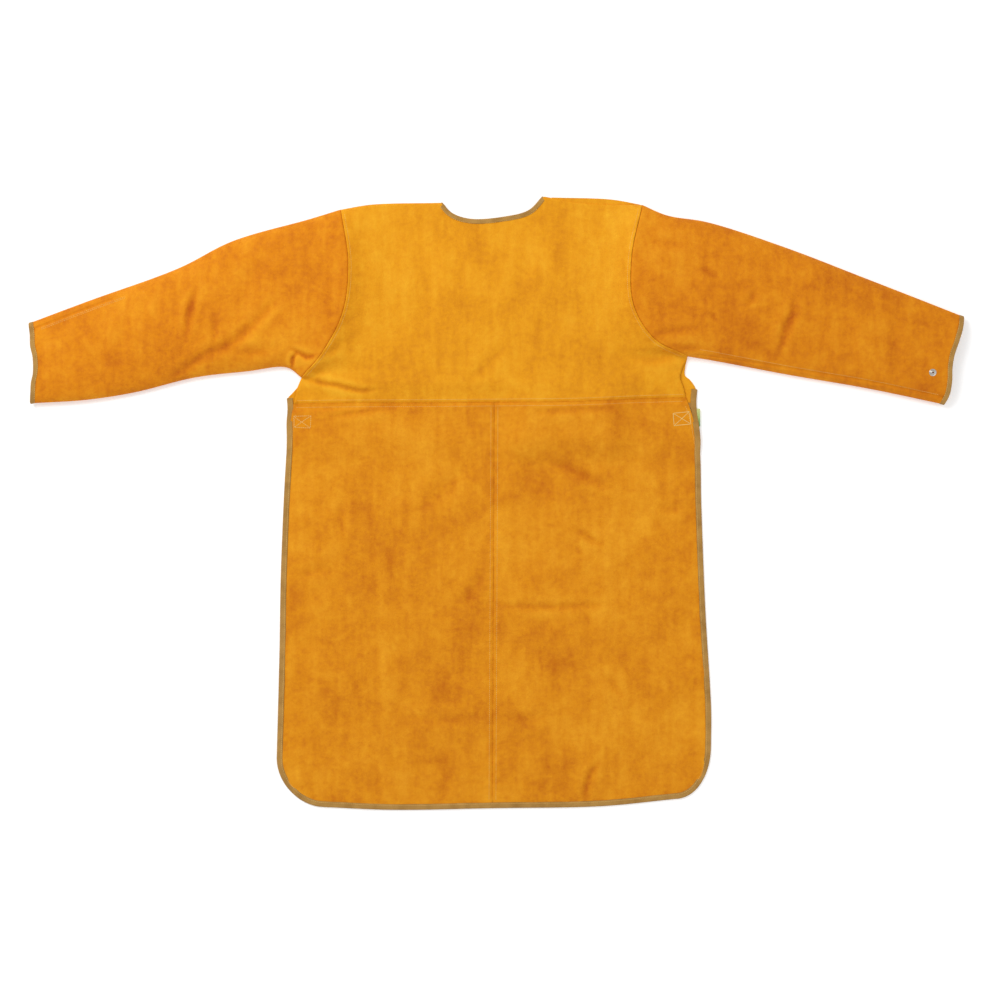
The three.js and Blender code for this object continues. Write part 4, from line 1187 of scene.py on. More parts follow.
@dataclass
class SkirtHalf:
    """One half of the skirt, from the waist seam down to the hem with its round corner."""

    side: Side
    relief: Relief
    across: int = 150
    up: int = 270
    corner: float = 82.0
    span: float = 340 * MM
    reach: float = 700 * MM
    edge_swell: float = 0.9 * MM
    edge_calm: float = 18 * MM

    def __post_init__(self) -> None:
        """Draws the panel's edges."""
        s, side = self.side.sign, self.side
        self.top = mm(*side.waist) + [0, BUILD.seam_overlap]
        self.centre_top = SEAM_TOP - [s * BUILD.centre_overlap, -BUILD.seam_overlap]
        self.centre_hem = SEAM_HEM - [s * BUILD.centre_overlap, 0]
        start, end = mm(*side.hem_side), mm(*side.hem_end)
        pull = (start + mm(0, -self.corner * 0.55), end + mm(s * self.corner * 0.5, 0))
        t = np.linspace(0, 1, 41)[:, None]
        round_corner = (
            start * (1 - t) ** 3 + 3 * pull[0] * t * (1 - t) ** 2 + 3 * pull[1] * t**2 * (1 - t) + end * t**3
        )
        hem = bulged(end, self.centre_hem, ((0.4, -4 if s < 0 else 6),)).line
        down = side.skirt_side.line
        half = len(round_corner) // 2
        self.outer = Edge(np.vstack([round_corner[half::-4], down[-2::-12]]))
        self.outer.line[-1] = self.top
        self.hem = Edge(np.vstack([hem[::-12], round_corner[-1 : half - 1 : -4]]))
        self.meet = self.outer.at([0.0])[0]

    def place(self, u: Array, v: Array) -> tuple[Array, Array]:
        """Each vertex's point on the outer face, and the point below it.

        Args:
            u: Shares across the sheet.
            v: Shares up the sheet.

        Returns:
            The two sets of points.
        """
        u, v = crowd(u, 0.09, 0.035), crowd(v, 0.05, 0.02)
        centre = column(1 - v) * self.centre_hem + column(v) * self.centre_top
        waist = column(1 - u) * self.centre_top + column(u) * self.top
        waist[:, 1] = np.interp(waist[:, 0], WAIST_SEAM.line[:, 0], WAIST_SEAM.line[:, 1])
        waist[:, 1] += BUILD.seam_overlap
        corners = [self.centre_hem, self.meet, self.centre_top, self.top]
        x, y = coons(centre, self.outer.at(v), self.hem.at(u), waist, corners, u, v).T
        to_seam = abs(x - seam_x(y))
        to_side = (1 - u) * self.span
        to_waist = (1 - v) * self.reach
        to_hem = v * self.reach
        from_side, from_hem = smooth(to_side / self.edge_calm), smooth(to_hem / self.edge_calm)
        calm = from_side * smooth(to_waist / (12 * MM)) * from_hem
        calm = calm * mix(0.35, 1, smooth(to_seam / (15 * MM)))
        lift = self.relief.height(x, y) * mix(0.12, 1, calm)
        lift = lift + pucker(y, to_seam, 0.5 * MM, 3.0) + pucker(x, to_waist, 0.5 * MM, 4.0)
        rise = skirt_level(x, y) + lift + self.edge_swell * from_side * from_hem
        z = np.maximum(rise, 0.5 * MM) + BUILD.leather
        z = z + groove(to_seam, 1.5 * MM, 1.9 * MM) + groove(to_waist, 2.1 * MM)
        bound = smooth((np.minimum(to_side, to_hem) - 12 * MM) / (16 * MM))
        z = np.maximum(z, BUILD.leather + mix(BUILD.low + 0.05 * MM, 0.25 * MM, bound))
        points = np.stack([x, y, z], axis=1)
        return points, points - [0, 0, 1]

    def hollow(self, x: Array, y: Array) -> Array:
        """How deep each point lies in a crease, which the leather darkens as painted shade."""
        return crease_depth(self.relief, x, y)

    def make(self, wardrobe: Wardrobe) -> bpy.types.Object:
        """Builds the panel.

        Args:
            wardrobe: The finishes, made once each.

        Returns:
            The piece.
        """
        name = f"skirt_{self.side.name}"
        weave = Weave(self.across, self.up)
        piece = surface(name, weave, self.place, wardrobe.get(Finish.SKIRT), self.hollow)
        thicken(piece, BUILD.leather)
        bend_skirt(piece)
        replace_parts(piece, f"skirt_upper_{self.side.name}", f"skirt_lower_{self.side.name}")
        return wardrobe.dress(piece)


def bend_skirt(piece: bpy.types.Object) -> None:
    """Bakes a piece's place into its mesh."""
    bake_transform(piece)


LEFT_SLEEVE = Relief(
    creases=(
        Crease(((-523, 372), (-534, 330), (-542, 281)), 6, 2.6),
        Crease(((-491, 335), (-490, 305), (-491, 275)), 6, 1.6),
        Crease(((-380, 354), (-455, 281), (-504, 258), (-572, 216)), 8, 2.8),
        Crease(((-725, 300), (-706, 266), (-691, 232)), 9, -1.8),
        Crease(((-597, 357), (-600, 340), (-597, 323)), 7, -1.5),
        Crease(((-357, 267), (-340, 258), (-332, 253.5), (-312, 256)), 4.2, 3.2),
        Crease(((-348, 261), (-355, 250), (-357, 235)), 3.6, 3.2),
        Crease(((-470, 262), (-420, 262), (-380, 272)), 8, 1.6),
        Crease(((-400, 420), (-430, 380), (-440, 340)), 13, 1.4),
        Crease(((-640, 330), (-652, 280), (-660, 230)), 12, 1.4),
    ),
    swell=2.0,
    seed=5.0,
)
RIGHT_SLEEVE = Relief(
    creases=(
        Crease(((518, 356), (514, 328), (504, 305), (492, 262)), 7, 2.8),
        Crease(((450, 372), (444, 356), (432, 340)), 6, 1.6),
        Crease(((352, 410), (368, 400), (383, 391)), 6, 1.6),
        Crease(((367, 332), (375, 324), (383, 316)), 5, 1.4),
        Crease(((270, 456), (300, 450), (329, 447)), 8, 1.6),
        Crease(((274, 291), (316, 300), (355, 303)), 7, 1.8),
        Crease(((305, 272), (330, 268), (360, 268)), 6, 1.8),
        Crease(((600, 330), (612, 290), (616, 240)), 12, 1.3),
        Crease(((700, 330), (690, 280), (700, 220)), 12, 1.2),
        Crease(((420, 300), (450, 270), (500, 246)), 10, 1.6),
    ),
    swell=2.0,
    seed=6.0,
)


@dataclass
class Sleeve:
    """A sleeve: one sheet round the arm, sewn along its lower edge."""

    side: Side
    relief: Relief
    seam_gap: float
    seam_from: float
    around: int = 190
    along: int = 200

    def crown(self, f: Array) -> Array:
        """The height of the sleeve's top at a share of its length."""
        near = mix(BUILD.armhole_crown, BUILD.elbow_crown, f / BUILD.elbow_at)
        far = mix(BUILD.elbow_crown, BUILD.cuff_crown, (f - BUILD.elbow_at) / (1 - BUILD.elbow_at))
        return np.where(f < BUILD.elbow_at, near, far) * mix(0.8, 1, smooth(f / 0.85))

    def shell(self, turn: Array, f: Array, relief: bool = True) -> Array:
        """Points of the outer face: turn goes once round, from the lower edge over the top and back.

        Args:
            turn: Shares of a turn round the sleeve.
            f: Shares along the sleeve, from armhole to cuff.
            relief: Whether the creases are pressed in.

        Returns:
            One row of x, y and z for each place.
        """
        front = turn < 0.5
        theta = np.where(front, turn, 1 - turn) * 2 * math.pi
        c = (1 - np.cos(theta)) / 2
        low, high = self.side.bottom.at(f), self.side.top.at(f)
        pit, tip = mm(*self.side.armpit), mm(*self.side.arm_top)
        arm = self.side.armhole.at(c) - (pit + column(c) * (tip - pit))
        cuff_low, cuff_top = self.side.cuff.at([0.0])[0], self.side.cuff.at([1.0])[0]
        cuff = self.side.cuff.at(c) - (cuff_low + column(c) * (cuff_top - cuff_low))
        bend = np.maximum(0, 1 - f / BUILD.elbow_at) ** 2
        flare = np.maximum(0, (f - BUILD.elbow_at) / (1 - BUILD.elbow_at)) ** 3
        flat = low + column(c) * (high - low) + column(bend) * arm + column(flare) * cuff
        seam = mix(BUILD.seam_level, BUILD.cuff_seam_level, smooth((f - 0.6) / 0.35))
        floor = BUILD.cuff_level * smooth((f - 0.8) / 0.1) + BUILD.low * (1 - smooth(f / 0.12))
        floor = np.maximum(floor, 0.4 * MM)
        around = np.sin(theta)
        over = seam + (self.crown(f) - seam) * around**0.85
        under = seam - (seam - floor) * np.minimum(1, around / 0.8)
        z = np.where(front, over, under)
        if relief:
            x, y = flat.T
            calm = smooth(f / 0.04) * smooth((1 - f) / 0.05) * smooth(around / 0.5)
            lift = self.relief.height(x, y) * calm
            gap = f * BUILD.sleeve_length
            lift = lift + pucker(y, gap, 0.9 * MM, 5.0) * calm
            z = z + np.where(front, lift, 0)
            z = z + np.where(front, groove(gap, 1.5 * MM, 1.7 * MM), 0)
            span = np.linalg.norm(high - low, axis=1)
            to_seam = (1 - c if self.side is LEFT else c) * span - self.seam_gap
            sewn = smooth((f - self.seam_from) / 0.05)
            z = z + np.where(front, groove(to_seam, 2.0 * MM, 2.2 * MM), 0) * sewn
        return np.column_stack([flat, z])

    def place(self, u: Array, v: Array) -> tuple[Array, Array]:
        """Each vertex's point, and the one on the sleeve's middle line behind it.

        Args:
            u: Shares of a turn round the sleeve.
            v: Shares along it.

        Returns:
            The two sets of points.
        """
        f = crowd(v, 0.06, 0.025)
        points = self.shell(u, f)
        core = (self.side.bottom.at(f) + self.side.top.at(f)) / 2
        return points, np.column_stack([core, np.full(len(f), BUILD.seam_level)])

    def hollow(self, x: Array, y: Array) -> Array:
        """How deep each point lies in a crease, which the leather darkens as painted shade."""
        return crease_depth(self.relief, x, y)

    def make(self, wardrobe: Wardrobe, elbow: Elbow) -> bpy.types.Object:
        """Builds the sleeve.

        Args:
            wardrobe: The finishes, made once each.
            elbow: The sleeve's fold, whose bend() bakes the piece's place into its mesh.

        Returns:
            The piece.
        """
        side = self.side.name
        weave = Weave(self.around, self.along, closed=True)
        piece = surface(f"sleeve_{side}", weave, self.place, wardrobe.get(Finish.SLEEVE), self.hollow)
        thicken(piece, BUILD.leather)
        elbow.bend(piece)
        nodes = [f"{part}_{face}_{side}" for part in ("sleeve", "forearm") for face in ("front", "back")]
        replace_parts(piece, *nodes)
        return wardrobe.dress(piece)


@dataclass
class BackHalf:
    """Half of the open back: sewn at the shoulder, the armhole and the flank, and free at its other edge."""

    side: Side
    relief: Relief = Relief(swell=0.9, ripple=0.3, seed=8.0)
    bound: float = 0.75
    wave: float = 0.8 * MM
    tuck: float = 2.5 * MM

    def __post_init__(self) -> None:
        """Draws the free edge and the two seams."""
        s, side = self.side.sign, self.side
        marks = [mm(s * x, y) for x, y in ((326, 168), (270, 206), (200, 270), (140, 360), (118, 450))]
        self.free = Edge([mm(*side.back_corner), *marks, mm(*side.back_neck)])
        self.flank = Edge([mm(*p) for p in (side.armpit, *side.back_flank, side.back_corner)])
        self.shoulder = bulged(mm(*side.arm_top), mm(*side.back_neck), ((0.34, -s * 5),))

    def place(self, u: Array, v: Array) -> tuple[Array, Array]:
        """Each vertex's point on the outer face, which looks down, and the point above it.

        Args:
            u: Shares across the sheet.
            v: Shares up the sheet.

        Returns:
            The two sets of points.
        """
        level = BUILD.seam_level - BUILD.leather - 0.3 * MM
        turn = mix(v, (1 - np.cos(math.pi * v)) / 2, 0.5)
        floorward = np.minimum(1, np.sin(math.pi * v) / 0.8)

        def lifted(flat: Array, z: Array) -> Array:
            """Gives flat points their heights."""
            return np.column_stack([flat, z])

        arm = lifted(self.side.armhole.at(turn), mix(level, BUILD.low, floorward))
        free = lifted(self.free.at(v), mix(BUILD.low, level, smooth((v - 0.5) / 0.24)))
        flank = lifted(self.flank.at(u), mix(BUILD.low, level, (1 - u) ** 4))
        shoulder = lifted(self.shoulder.at(u), np.full(len(u), level))
        side = self.side
        corners = [
            np.append(mm(*side.armpit), level),
            np.append(mm(*side.back_corner), BUILD.low),
            np.append(mm(*side.arm_top), level),
            np.append(mm(*side.back_neck), level),
        ]
        points = coons(arm, free, flank, shoulder, corners, u, v)
        calm = smooth(np.minimum.reduce([u, 1 - u, v, 1 - v]) / 0.15)
        wave = self.relief.height(points[:, 0], points[:, 1]) * calm
        points[:, 2] = np.maximum(points[:, 2] + np.clip(wave, -self.wave, self.wave), 0.3 * MM)
        inset = smooth(1 - u / 0.03) * self.tuck * self.side.sign
        points[:, 0] -= inset
        return points, points + [0, 0, 1]

    def make(self, wardrobe: Wardrobe) -> bpy.types.Object:
        """Builds the panel and its binding.

        Args:
            wardrobe: The finishes, made once each.

        Returns:
            The piece.
        """
        name = self.side.name
        leather = wardrobe.get(Finish.CHEST)
        piece = surface(f"back_{name}", Weave(70, 120), self.place, leather)
        thicken(piece, BUILD.leather)
        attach(piece, "body")
        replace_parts(piece, f"back_panel_{name}")
        wardrobe.dress(piece)
        v = np.linspace(0, self.bound, 220)
        rim, _ = self.place(np.ones(len(v)), v)
        rim[:, 2] += BUILD.leather / 2
        inner = mm(self.side.sign * 250, 300)
        tape = FoldedTape(f"back_tape_{name}", rim, inner).make(wardrobe)
        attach(tape, "body")
        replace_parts(tape, f"back_binding_{name}")
        return piece


@dataclass
class FoldedTape:
    """Ribbed tape folded over the edge of a sheet.

    The rim is the middle of the sheet's thickness along its edge. Inner is a point on the sheet's side.
    """

    name: str
    rim: Array
    inner: Array
    outs: Array | None = None
    ups: Array | None = None
    faces_across: int = 16
    spacing: float = 2.2 * MM
    width: float = BUILD.tape_width

    def __post_init__(self) -> None:
        """Measures the rim and works out which way is out."""
        gaps = np.linalg.norm(np.diff(self.rim, axis=0), axis=1)
        self.reach = np.concatenate([[0.0], np.cumsum(gaps)])
        self.length = float(self.reach[-1])
        if self.outs is None:
            way = np.gradient(self.rim[:, :2], axis=0)
            way /= np.linalg.norm(way, axis=1)[:, None]
            out = np.stack([way[:, 1], -way[:, 0]], axis=1)
            facing = np.sign(np.sum(out * (self.rim[:, :2] - self.inner)))
            self.outs = np.column_stack([out * facing, np.zeros(len(out))])
            self.ups = np.tile([0.0, 0.0, 1.0], (len(out), 1))

    def section(self, v: Array) -> tuple[Array, Array]:
        """The folded tape's own section: how far out and how far up, by share of its width.

        Args:
            v: Shares across the tape.

        Returns:
            The reach and the lift of each share.
        """
        radius = BUILD.leather / 2 + BUILD.tape + 0.15 * MM
        width = self.width
        bend = math.pi * radius
        s = v * (2 * width + bend)
        angle = np.clip((s - width) / radius, 0, math.pi)
        back = np.where(s < width + bend, radius * np.sin(angle), width + bend - s)
        out = np.where(s < width, s - width, back)
        return out, radius * np.cos(angle)

    def place(self, u: Array, v: Array) -> tuple[Array, Array]:
        """Each vertex's point, and the middle of the fold behind it.

        Args:
            u: Shares along the tape.
            v: Shares across it.

        Returns:
            The two sets of points.
        """
        reach = u * self.length

        def along(values: Array) -> Array:
            """Reads a row of vectors at each vertex's place along the tape."""
            return np.stack([np.interp(reach, self.reach, axis) for axis in values.T], axis=1)

        at, outs, ups = along(self.rim), along(self.outs), along(self.ups)
        out, up = self.section(v)
        wander = billow(reach, np.zeros(len(reach)), 0.03, 21.0)
        ripple = billow(reach, v * 0.02, 0.011, 22.0)
        ends = np.where(abs(v - 0.5) > 0.49, wander * 0.5 * MM, 0)
        up = up + np.sign(up) * np.where(abs(v - 0.5) < 0.3, 0, abs(ripple) * 0.22 * MM)
        points = at + column(out + ends) * outs + column(up) * ups
        core = at - column(np.full(len(reach), self.width / 2)) * outs
        return points, core

    def make(self, wardrobe: Wardrobe, closed: bool = False) -> bpy.types.Object:
        """Builds the tape.

        Args:
            wardrobe: The finishes, made once each.
            closed: Whether the tape's ends meet.

        Returns:
            The piece.
        """
        width = 2 * self.width + math.pi * BUILD.leather
        weave = Weave(int(self.length / self.spacing), self.faces_across, self.length, width, closed)
        piece = surface(self.name, weave, self.place, wardrobe.get(Finish.TAPE))
        thicken(piece, BUILD.tape)
        return wardrobe.dress(piece)


def skirt_rim(half: SkirtHalf, count: int = 420) -> Array:
    """The middle of a skirt panel's edge, from the centre of the hem to the waist.

    Args:
        half: The skirt panel.
        count: How many points to take.

    Returns:
        Rows of x, y and z.
    """
    t = np.linspace(0, 1, count)
    ones = np.ones(count)
    hem, _ = half.place(t, 0 * ones)
    side, _ = half.place(ones, t * 0.985)
    rim = np.vstack([hem, side[1:]])
    rim[:, 2] -= BUILD.leather / 2
    return rim


def tape_rim(half: SkirtHalf) -> Array:
    """The skirt's rim, and on up to the back panel's corner, where the tape dips under the skirt's edge.

    Args:
        half: The skirt panel.

    Returns:
        Rows of x, y and z.
    """
    rim = skirt_rim(half)
    marks = [mm(*p) for p in half.side.tape_start[::-1]]
    edge = rim[len(rim) // 2 :]
    rim = rim[(rim[:, 1] < marks[0][1] - 22 * MM) | (np.arange(len(rim)) < len(rim) // 3)]
    flat = Edge([rim[-24, :2], rim[-1, :2], *marks]).at(np.linspace(0, 1, 160))
    flat = flat[flat[:, 1] > rim[-1, 1] + 1 * MM]
    floor = BUILD.low + BUILD.leather / 2 + 0.6 * MM
    z = np.interp(flat[:, 1], edge[:, 1], edge[:, 2])
    dip_from, dip_over = 128 * MM, 34 * MM
    z = mix(z, floor, smooth((flat[:, 1] - dip_from) / dip_over))
    return np.vstack([rim, np.column_stack([flat, z])])


def hem_tape(halves: Sequence[SkirtHalf], wardrobe: Wardrobe) -> bpy.types.Object:
    """The tape round the skirt: up one side, along the hem and up the other.

    Args:
        halves: The two skirt panels.
        wardrobe: The finishes, made once each.

    Returns:
        The piece.
    """
    left, right = (tape_rim(half) for half in halves)
    rim = np.vstack([left[::-1], right[1:]])
    piece = FoldedTape("skirt_tape", rim, mm(0, -170)).make(wardrobe)
    bend_skirt(piece)
    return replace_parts(piece, "side_binding_left", "side_binding_right", "hem_binding")


def neck_tape(chest: Chest, wardrobe: Wardrobe) -> bpy.types.Object:
    """The tape round the neck's scoop.

    Args:
        chest: The chest panel.
        wardrobe: The finishes, made once each.

    Returns:
        The piece.
    """
    u = np.linspace(0, 1, 3000)
    rim, _ = chest.place(u, np.ones(len(u)))
    low, high = LEFT.neck[0] * MM, RIGHT.neck[0] * MM
    rim = rim[(rim[:, 0] > low) & (rim[:, 0] < high)][::4]
    rim[:, 2] -= BUILD.leather / 2
    piece = FoldedTape("neck_tape", rim, mm(-8, 300), width=BUILD.tape_width - 2.2 * MM).make(wardrobe)
    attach(piece, "body")
    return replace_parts(piece, "neck_binding")


def cuff_tape(sleeve: Sleeve, wardrobe: Wardrobe) -> bpy.types.Object:
    """The tape round a cuff.

    Args:
        sleeve: The sleeve.
        wardrobe: The finishes, made once each.

    Returns:
        The piece.
    """
    turn = np.linspace(0, 1, 400)
    ring = sleeve.shell(turn, np.ones(len(turn)), relief=False)
    way = np.gradient(ring, axis=0)
    way[0] = way[-1] = ring[1] - ring[-2]
    along = np.append(sleeve.side.along, 0.0)
    normal = np.cross(way, along)
    normal /= np.linalg.norm(normal, axis=1)[:, None]
    if np.sum(normal * (ring - ring.mean(axis=0))) < 0:
        normal = -normal
    rim = ring - normal * BUILD.leather / 2
    outs = np.tile(along, (len(ring), 1))
    name = sleeve.side.name
    width = BUILD.tape_width - 1.6 * MM
    tape = FoldedTape(
        f"cuff_tape_{name}", rim, mm(0, 0), outs=outs, ups=normal, spacing=1.8 * MM, width=width
    )
    piece = tape.make(wardrobe, closed=True)
    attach(piece, f"forearm_{name}")
    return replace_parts(piece, f"cuff_binding_{name}")


# ---------------------------------------------------------------- stitching


class Ground:
    """The top faces that stitches are sewn on."""

    def __init__(self, pieces: Sequence[bpy.types.Object]) -> None:
        """Reads the pieces' own faces.

        Args:
            pieces: The pieces to sew on.
        """
        self.trees = []
        for piece in pieces:
            verts = [v.co.copy() for v in piece.data.vertices]
            self.trees.append(BVHTree.FromPolygons(verts, [p.vertices[:] for p in piece.data.polygons]))

    def drop(self, x: float, y: float) -> tuple[Vector, Vector] | None:
        """The highest point under a place and the way its face looks, or nothing.

        Args:
            x: Place across, in metres.
            y: Place up the apron, in metres.

        Returns:
            The place and the normal, or None where there is nothing to sew on.
        """
        best = None
        for tree in self.trees:
            at, normal, _, _ = tree.ray_cast(Vector((x, y, 1.0)), Vector((0, 0, -1)))
            if at is not None and (best is None or at.z > best[0].z):
                best = (at, normal)
        return best


@dataclass
class Stitching:
    """Rows of stitches in one piece."""

    name: str
    ground: Ground
    thread: Finish = Finish.SEAM_THREAD
    pitch: float = 3.5 * MM
    length: float = 2.7 * MM
    width: float = 0.6 * MM
    rise: float = 0.5 * MM

    def __post_init__(self) -> None:
        """Makes the one stitch that is repeated."""
        bm = bmesh.new()
        bmesh.ops.create_uvsphere(bm, u_segments=6, v_segments=5, radius=0.5)
        bmesh.ops.rotate(bm, verts=bm.verts[:], cent=(0, 0, 0), matrix=Matrix.Rotation(math.pi / 2, 3, "Y"))
        bmesh.ops.scale(bm, verts=bm.verts[:], vec=(self.length, self.width, self.rise))
        self.stitch = bpy.data.meshes.new("stitch")
        bm.to_mesh(self.stitch)
        bm.free()
        self.bm = bmesh.new()
        self.count = 0

    def row(self, line: Array, start: float = 0.0) -> None:
        """Sews along a flat line.

        Args:
            line: Rows of x and y.
            start: Where the first stitch is, as a share of the pitch.
        """
        gaps = np.linalg.norm(np.diff(line, axis=0), axis=1)
        reach = np.concatenate([[0.0], np.cumsum(gaps)])
        places = np.arange(start * self.pitch + self.length / 2, reach[-1] - self.length / 2, self.pitch)
        for place in places:
            ends = [place - self.length / 3, place, place + self.length / 3]
            points = [[np.interp(s, reach, line[:, k]) for k in (0, 1)] for s in ends]
            hits = [self.ground.drop(*p) for p in points]
            if None in hits:
                continue
            (a, _), (at, normal), (b, _) = hits
            way = b - a
            if way.length < self.length / 4 or way.length > self.length * 1.5:
                continue
            way.normalize()
            side = normal.cross(way).normalized()
            up = way.cross(side)
            turn = Matrix((way, side, up)).transposed().to_4x4()
            turn.translation = at + up * 0.06 * MM
            self.stitch.transform(turn)
            self.bm.from_mesh(self.stitch)
            self.stitch.transform(turn.inverted())
            self.count += 1

    def cross_box(self, box: Sequence[tuple[float, float]], rounds: int = 2) -> None:
        """Sews a box with a cross in it, several times over, from its corners in millimetres.

        Args:
            box: The four corners.
            rounds: How many times it is sewn.
        """
        for turn in range(rounds):
            middle = np.mean([mm(*p) for p in box], axis=0)
            corners = [middle + (mm(*p) - middle) * (1 - 0.035 * turn) for p in box]
            corners.append(corners[0])
            for a, b in [*zip(corners, corners[1:]), (corners[0], corners[2]), (corners[1], corners[3])]:
                self.row(np.linspace(a, b, 12), 0.4 * turn)

    def make(self, wardrobe: Wardrobe) -> bpy.types.Object:
        """Builds the piece."""
        LOG.info("%s: %d stitches", self.name, self.count)
        piece = finished(self.bm, self.name, wardrobe.get(self.thread))
        return wardrobe.dress(piece)


def beside(line: Array, gap: float) -> Array:
    """A flat line moved to its left by a gap in metres."""
    way = np.gradient(line, axis=0)
    way /= np.linalg.norm(way, axis=1)[:, None]
    return line + np.stack([-way[:, 1], way[:, 0]], axis=1) * gap


def upright(x: Callable[[Array], Array], low: float, high: float) -> Array:
    """A flat line that runs up from low to high in millimetres, at the place across that x gives."""
    y = np.linspace(low, high, 120) * MM
    return np.stack([x(y), y], axis=1)


@dataclass
class Needlework:
    """Every row of stitches on the apron."""

    chest: Chest
    halves: Sequence[SkirtHalf]
    seam_gap: float = 6.0 * MM
    edge_gap: float = 6.2 * MM
    arm_gap: float = 5.0 * MM

    def body(self, ground: Ground, wardrobe: Wardrobe) -> bpy.types.Object:
        """The waist, the armholes, the neck and the straps' boxes.

        Args:
            ground: The faces to sew on.
            wardrobe: The finishes, made once each.

        Returns:
            The seams' stitches; the boxes are a piece of their own.
        """
        work = Stitching("stitching_body", ground)
        seam = self.chest.seam.at(np.linspace(0.008, 0.992, 200))
        for gap in (self.seam_gap, -self.seam_gap):
            work.row(seam + [0, gap], 0.3 if gap > 0 else 0.0)
        for side in SIDES:
            arm = side.armhole.at(np.linspace(0.03, 0.97, 160))
            work.row(beside(arm, side.sign * self.arm_gap))
        scoop = self.chest.scoop.at(np.linspace(0.02, 0.98, 100))
        work.row(beside(scoop, -self.edge_gap))
        piece = work.make(wardrobe)
        boxes = Stitching("stitching_boxes", ground, thread=Finish.THREAD, width=0.8 * MM)
        boxes.cross_box(((-355.5, 150.5), (-325, 151.5), (-326, 130), (-354, 131.5)), 1)
        boxes.cross_box(((307.5, 156), (309, 134), (339, 137), (336.5, 159)))
        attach(boxes.make(wardrobe), "body")
        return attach(piece, "body")

    def skirt(self, ground: Ground, wardrobe: Wardrobe) -> bpy.types.Object:
        """The centre seam and the tape round the skirt.

        Args:
            ground: The faces to sew on.
            wardrobe: The finishes, made once each.

        Returns:
            The piece.
        """
        work = Stitching("stitching_skirt", ground)
        for gap in (self.seam_gap, -self.seam_gap):
            work.row(upright(lambda y, gap=gap: seam_x(y) + gap, 166, -522))
        for half in self.halves:
            rim = skirt_rim(half, 200)[:, :2]
            work.row(beside(rim, half.side.sign * self.edge_gap))
        piece = work.make(wardrobe)
        bend_skirt(piece)
        return piece

    def sleeve(self, sleeve: Sleeve, ground: Ground, wardrobe: Wardrobe, elbow: Elbow) -> bpy.types.Object:
        """The long seam that shows and the cuff's tape.

        Args:
            sleeve: The sleeve.
            ground: The faces to sew on.
            wardrobe: The finishes, made once each.
            elbow: The sleeve's fold, whose bend() bakes the piece's place into its mesh.

        Returns:
            The piece.
        """
        side = sleeve.side
        work = Stitching(f"stitching_sleeve_{side.name}", ground)
        share = np.linspace(max(sleeve.seam_from, 0.04), 0.975, 200)
        edge = side.top if side is LEFT else side.bottom
        for gap in (2.6 * MM, 5.2 * MM)[: 2 if side is LEFT else 1]:
            work.row(beside(edge.at(share), sleeve.seam_gap + gap))
        cuff = side.cuff.at(np.linspace(0.04, 0.96, 80)) - side.along * self.edge_gap
        work.row(cuff)
        piece = work.make(wardrobe)
        elbow.bend(piece)
        return piece


# ---------------------------------------------------------------- straps, buckle, snaps and label


@dataclass
class Strap:
    """A waist strap: webbing from its box stitch to the buckle's bar, round it and back."""

    side: Side
    drawn: float
    bar_radius: float = 1.8 * MM
    bar_reach: float = 25 * MM
    back: float = 34 * MM
    level: float = 1.25 * MM
    end_level: float = 3.95 * MM

    def route(self, sewn: float) -> Edge:
        """The webbing's middle line, seen from the side.

        Args:
            sewn: Where the strap is sewn down, in metres across.

        Returns:
            A line of places across and levels.
        """
        loop = self.bar_radius + 0.5 * MM + BUILD.webbing / 2
        bar = BUILD.buckle_x + self.side.sign * self.bar_reach
        way = -self.side.sign
        centre = self.level + loop
        line = [np.array([sewn, self.end_level])]
        for t in np.linspace(0, 1, 7):
            rise = mix(self.end_level, self.level, smooth(t))
            line.append(np.array([sewn + way * (25 + 60 * t) * MM, rise]))
        line.append(np.array([mix(sewn, bar, 0.6), self.level]))
        for angle in np.linspace(0, math.pi, 9):
            line.append(np.array([bar + way * loop * math.sin(angle), centre - loop * math.cos(angle)]))
        line.append(np.array([bar - way * self.back * 0.3, centre + loop - 1.2 * MM]))
        line.append(np.array([bar - way * self.back, self.level + BUILD.webbing + 0.6 * MM]))
        return Edge(line)

    def make(self, wardrobe: Wardrobe) -> bpy.types.Object:
        """Builds the strap; the left one gets a mesh of its own.

        Args:
            wardrobe: The finishes, made once each.

        Returns:
            The piece.
        """
        name = self.side.name
        low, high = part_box(f"waist_strap_{name}")
        sewn = low.x if self.side is LEFT else high.x
        route = self.route(sewn)

        def place(u: Array, v: Array) -> tuple[Array, Array]:
            """Each vertex's point on the middle of the webbing, and the point beside it."""
            at = route.at(u)
            ahead = route.at(np.minimum(u + 0.002, 1)) - route.at(np.maximum(u - 0.002, 0))
            y = BUILD.strap_y + (v - 0.5) * BUILD.webbing_width
            points = np.column_stack([at[:, 0], y, at[:, 1]])
            side = np.column_stack([-ahead[:, 1], np.zeros(len(u)), ahead[:, 0]])
            return points, points - side

        weave = Weave(int(route.length / (1.5 * MM)), 12, route.length, BUILD.webbing_width)
        piece = surface(f"strap_{name}", weave, place, wardrobe.get(Finish.WEBBING))
        thicken(piece, BUILD.webbing - 0.2 * MM, 0.0)
        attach(piece, "body")
        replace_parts(piece, f"waist_strap_{name}")
        if self.side is LEFT:
            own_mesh(piece)
        return wardrobe.dress(piece)


@dataclass
class Elbow:
    """The fold of one sleeve: the joint's place, and a reach past it along the sleeve."""

    side: Side
    place: Sequence[float]
    reach: float = 80 * MM

    def bend(self, piece: bpy.types.Object) -> None:
        """Bakes a piece's place into its mesh; the fold's end is worked out but not used."""
        x, y, z = self.place
        end = (x + self.side.along[0] * self.reach, y + self.side.along[1] * self.reach, z)
        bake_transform(piece)


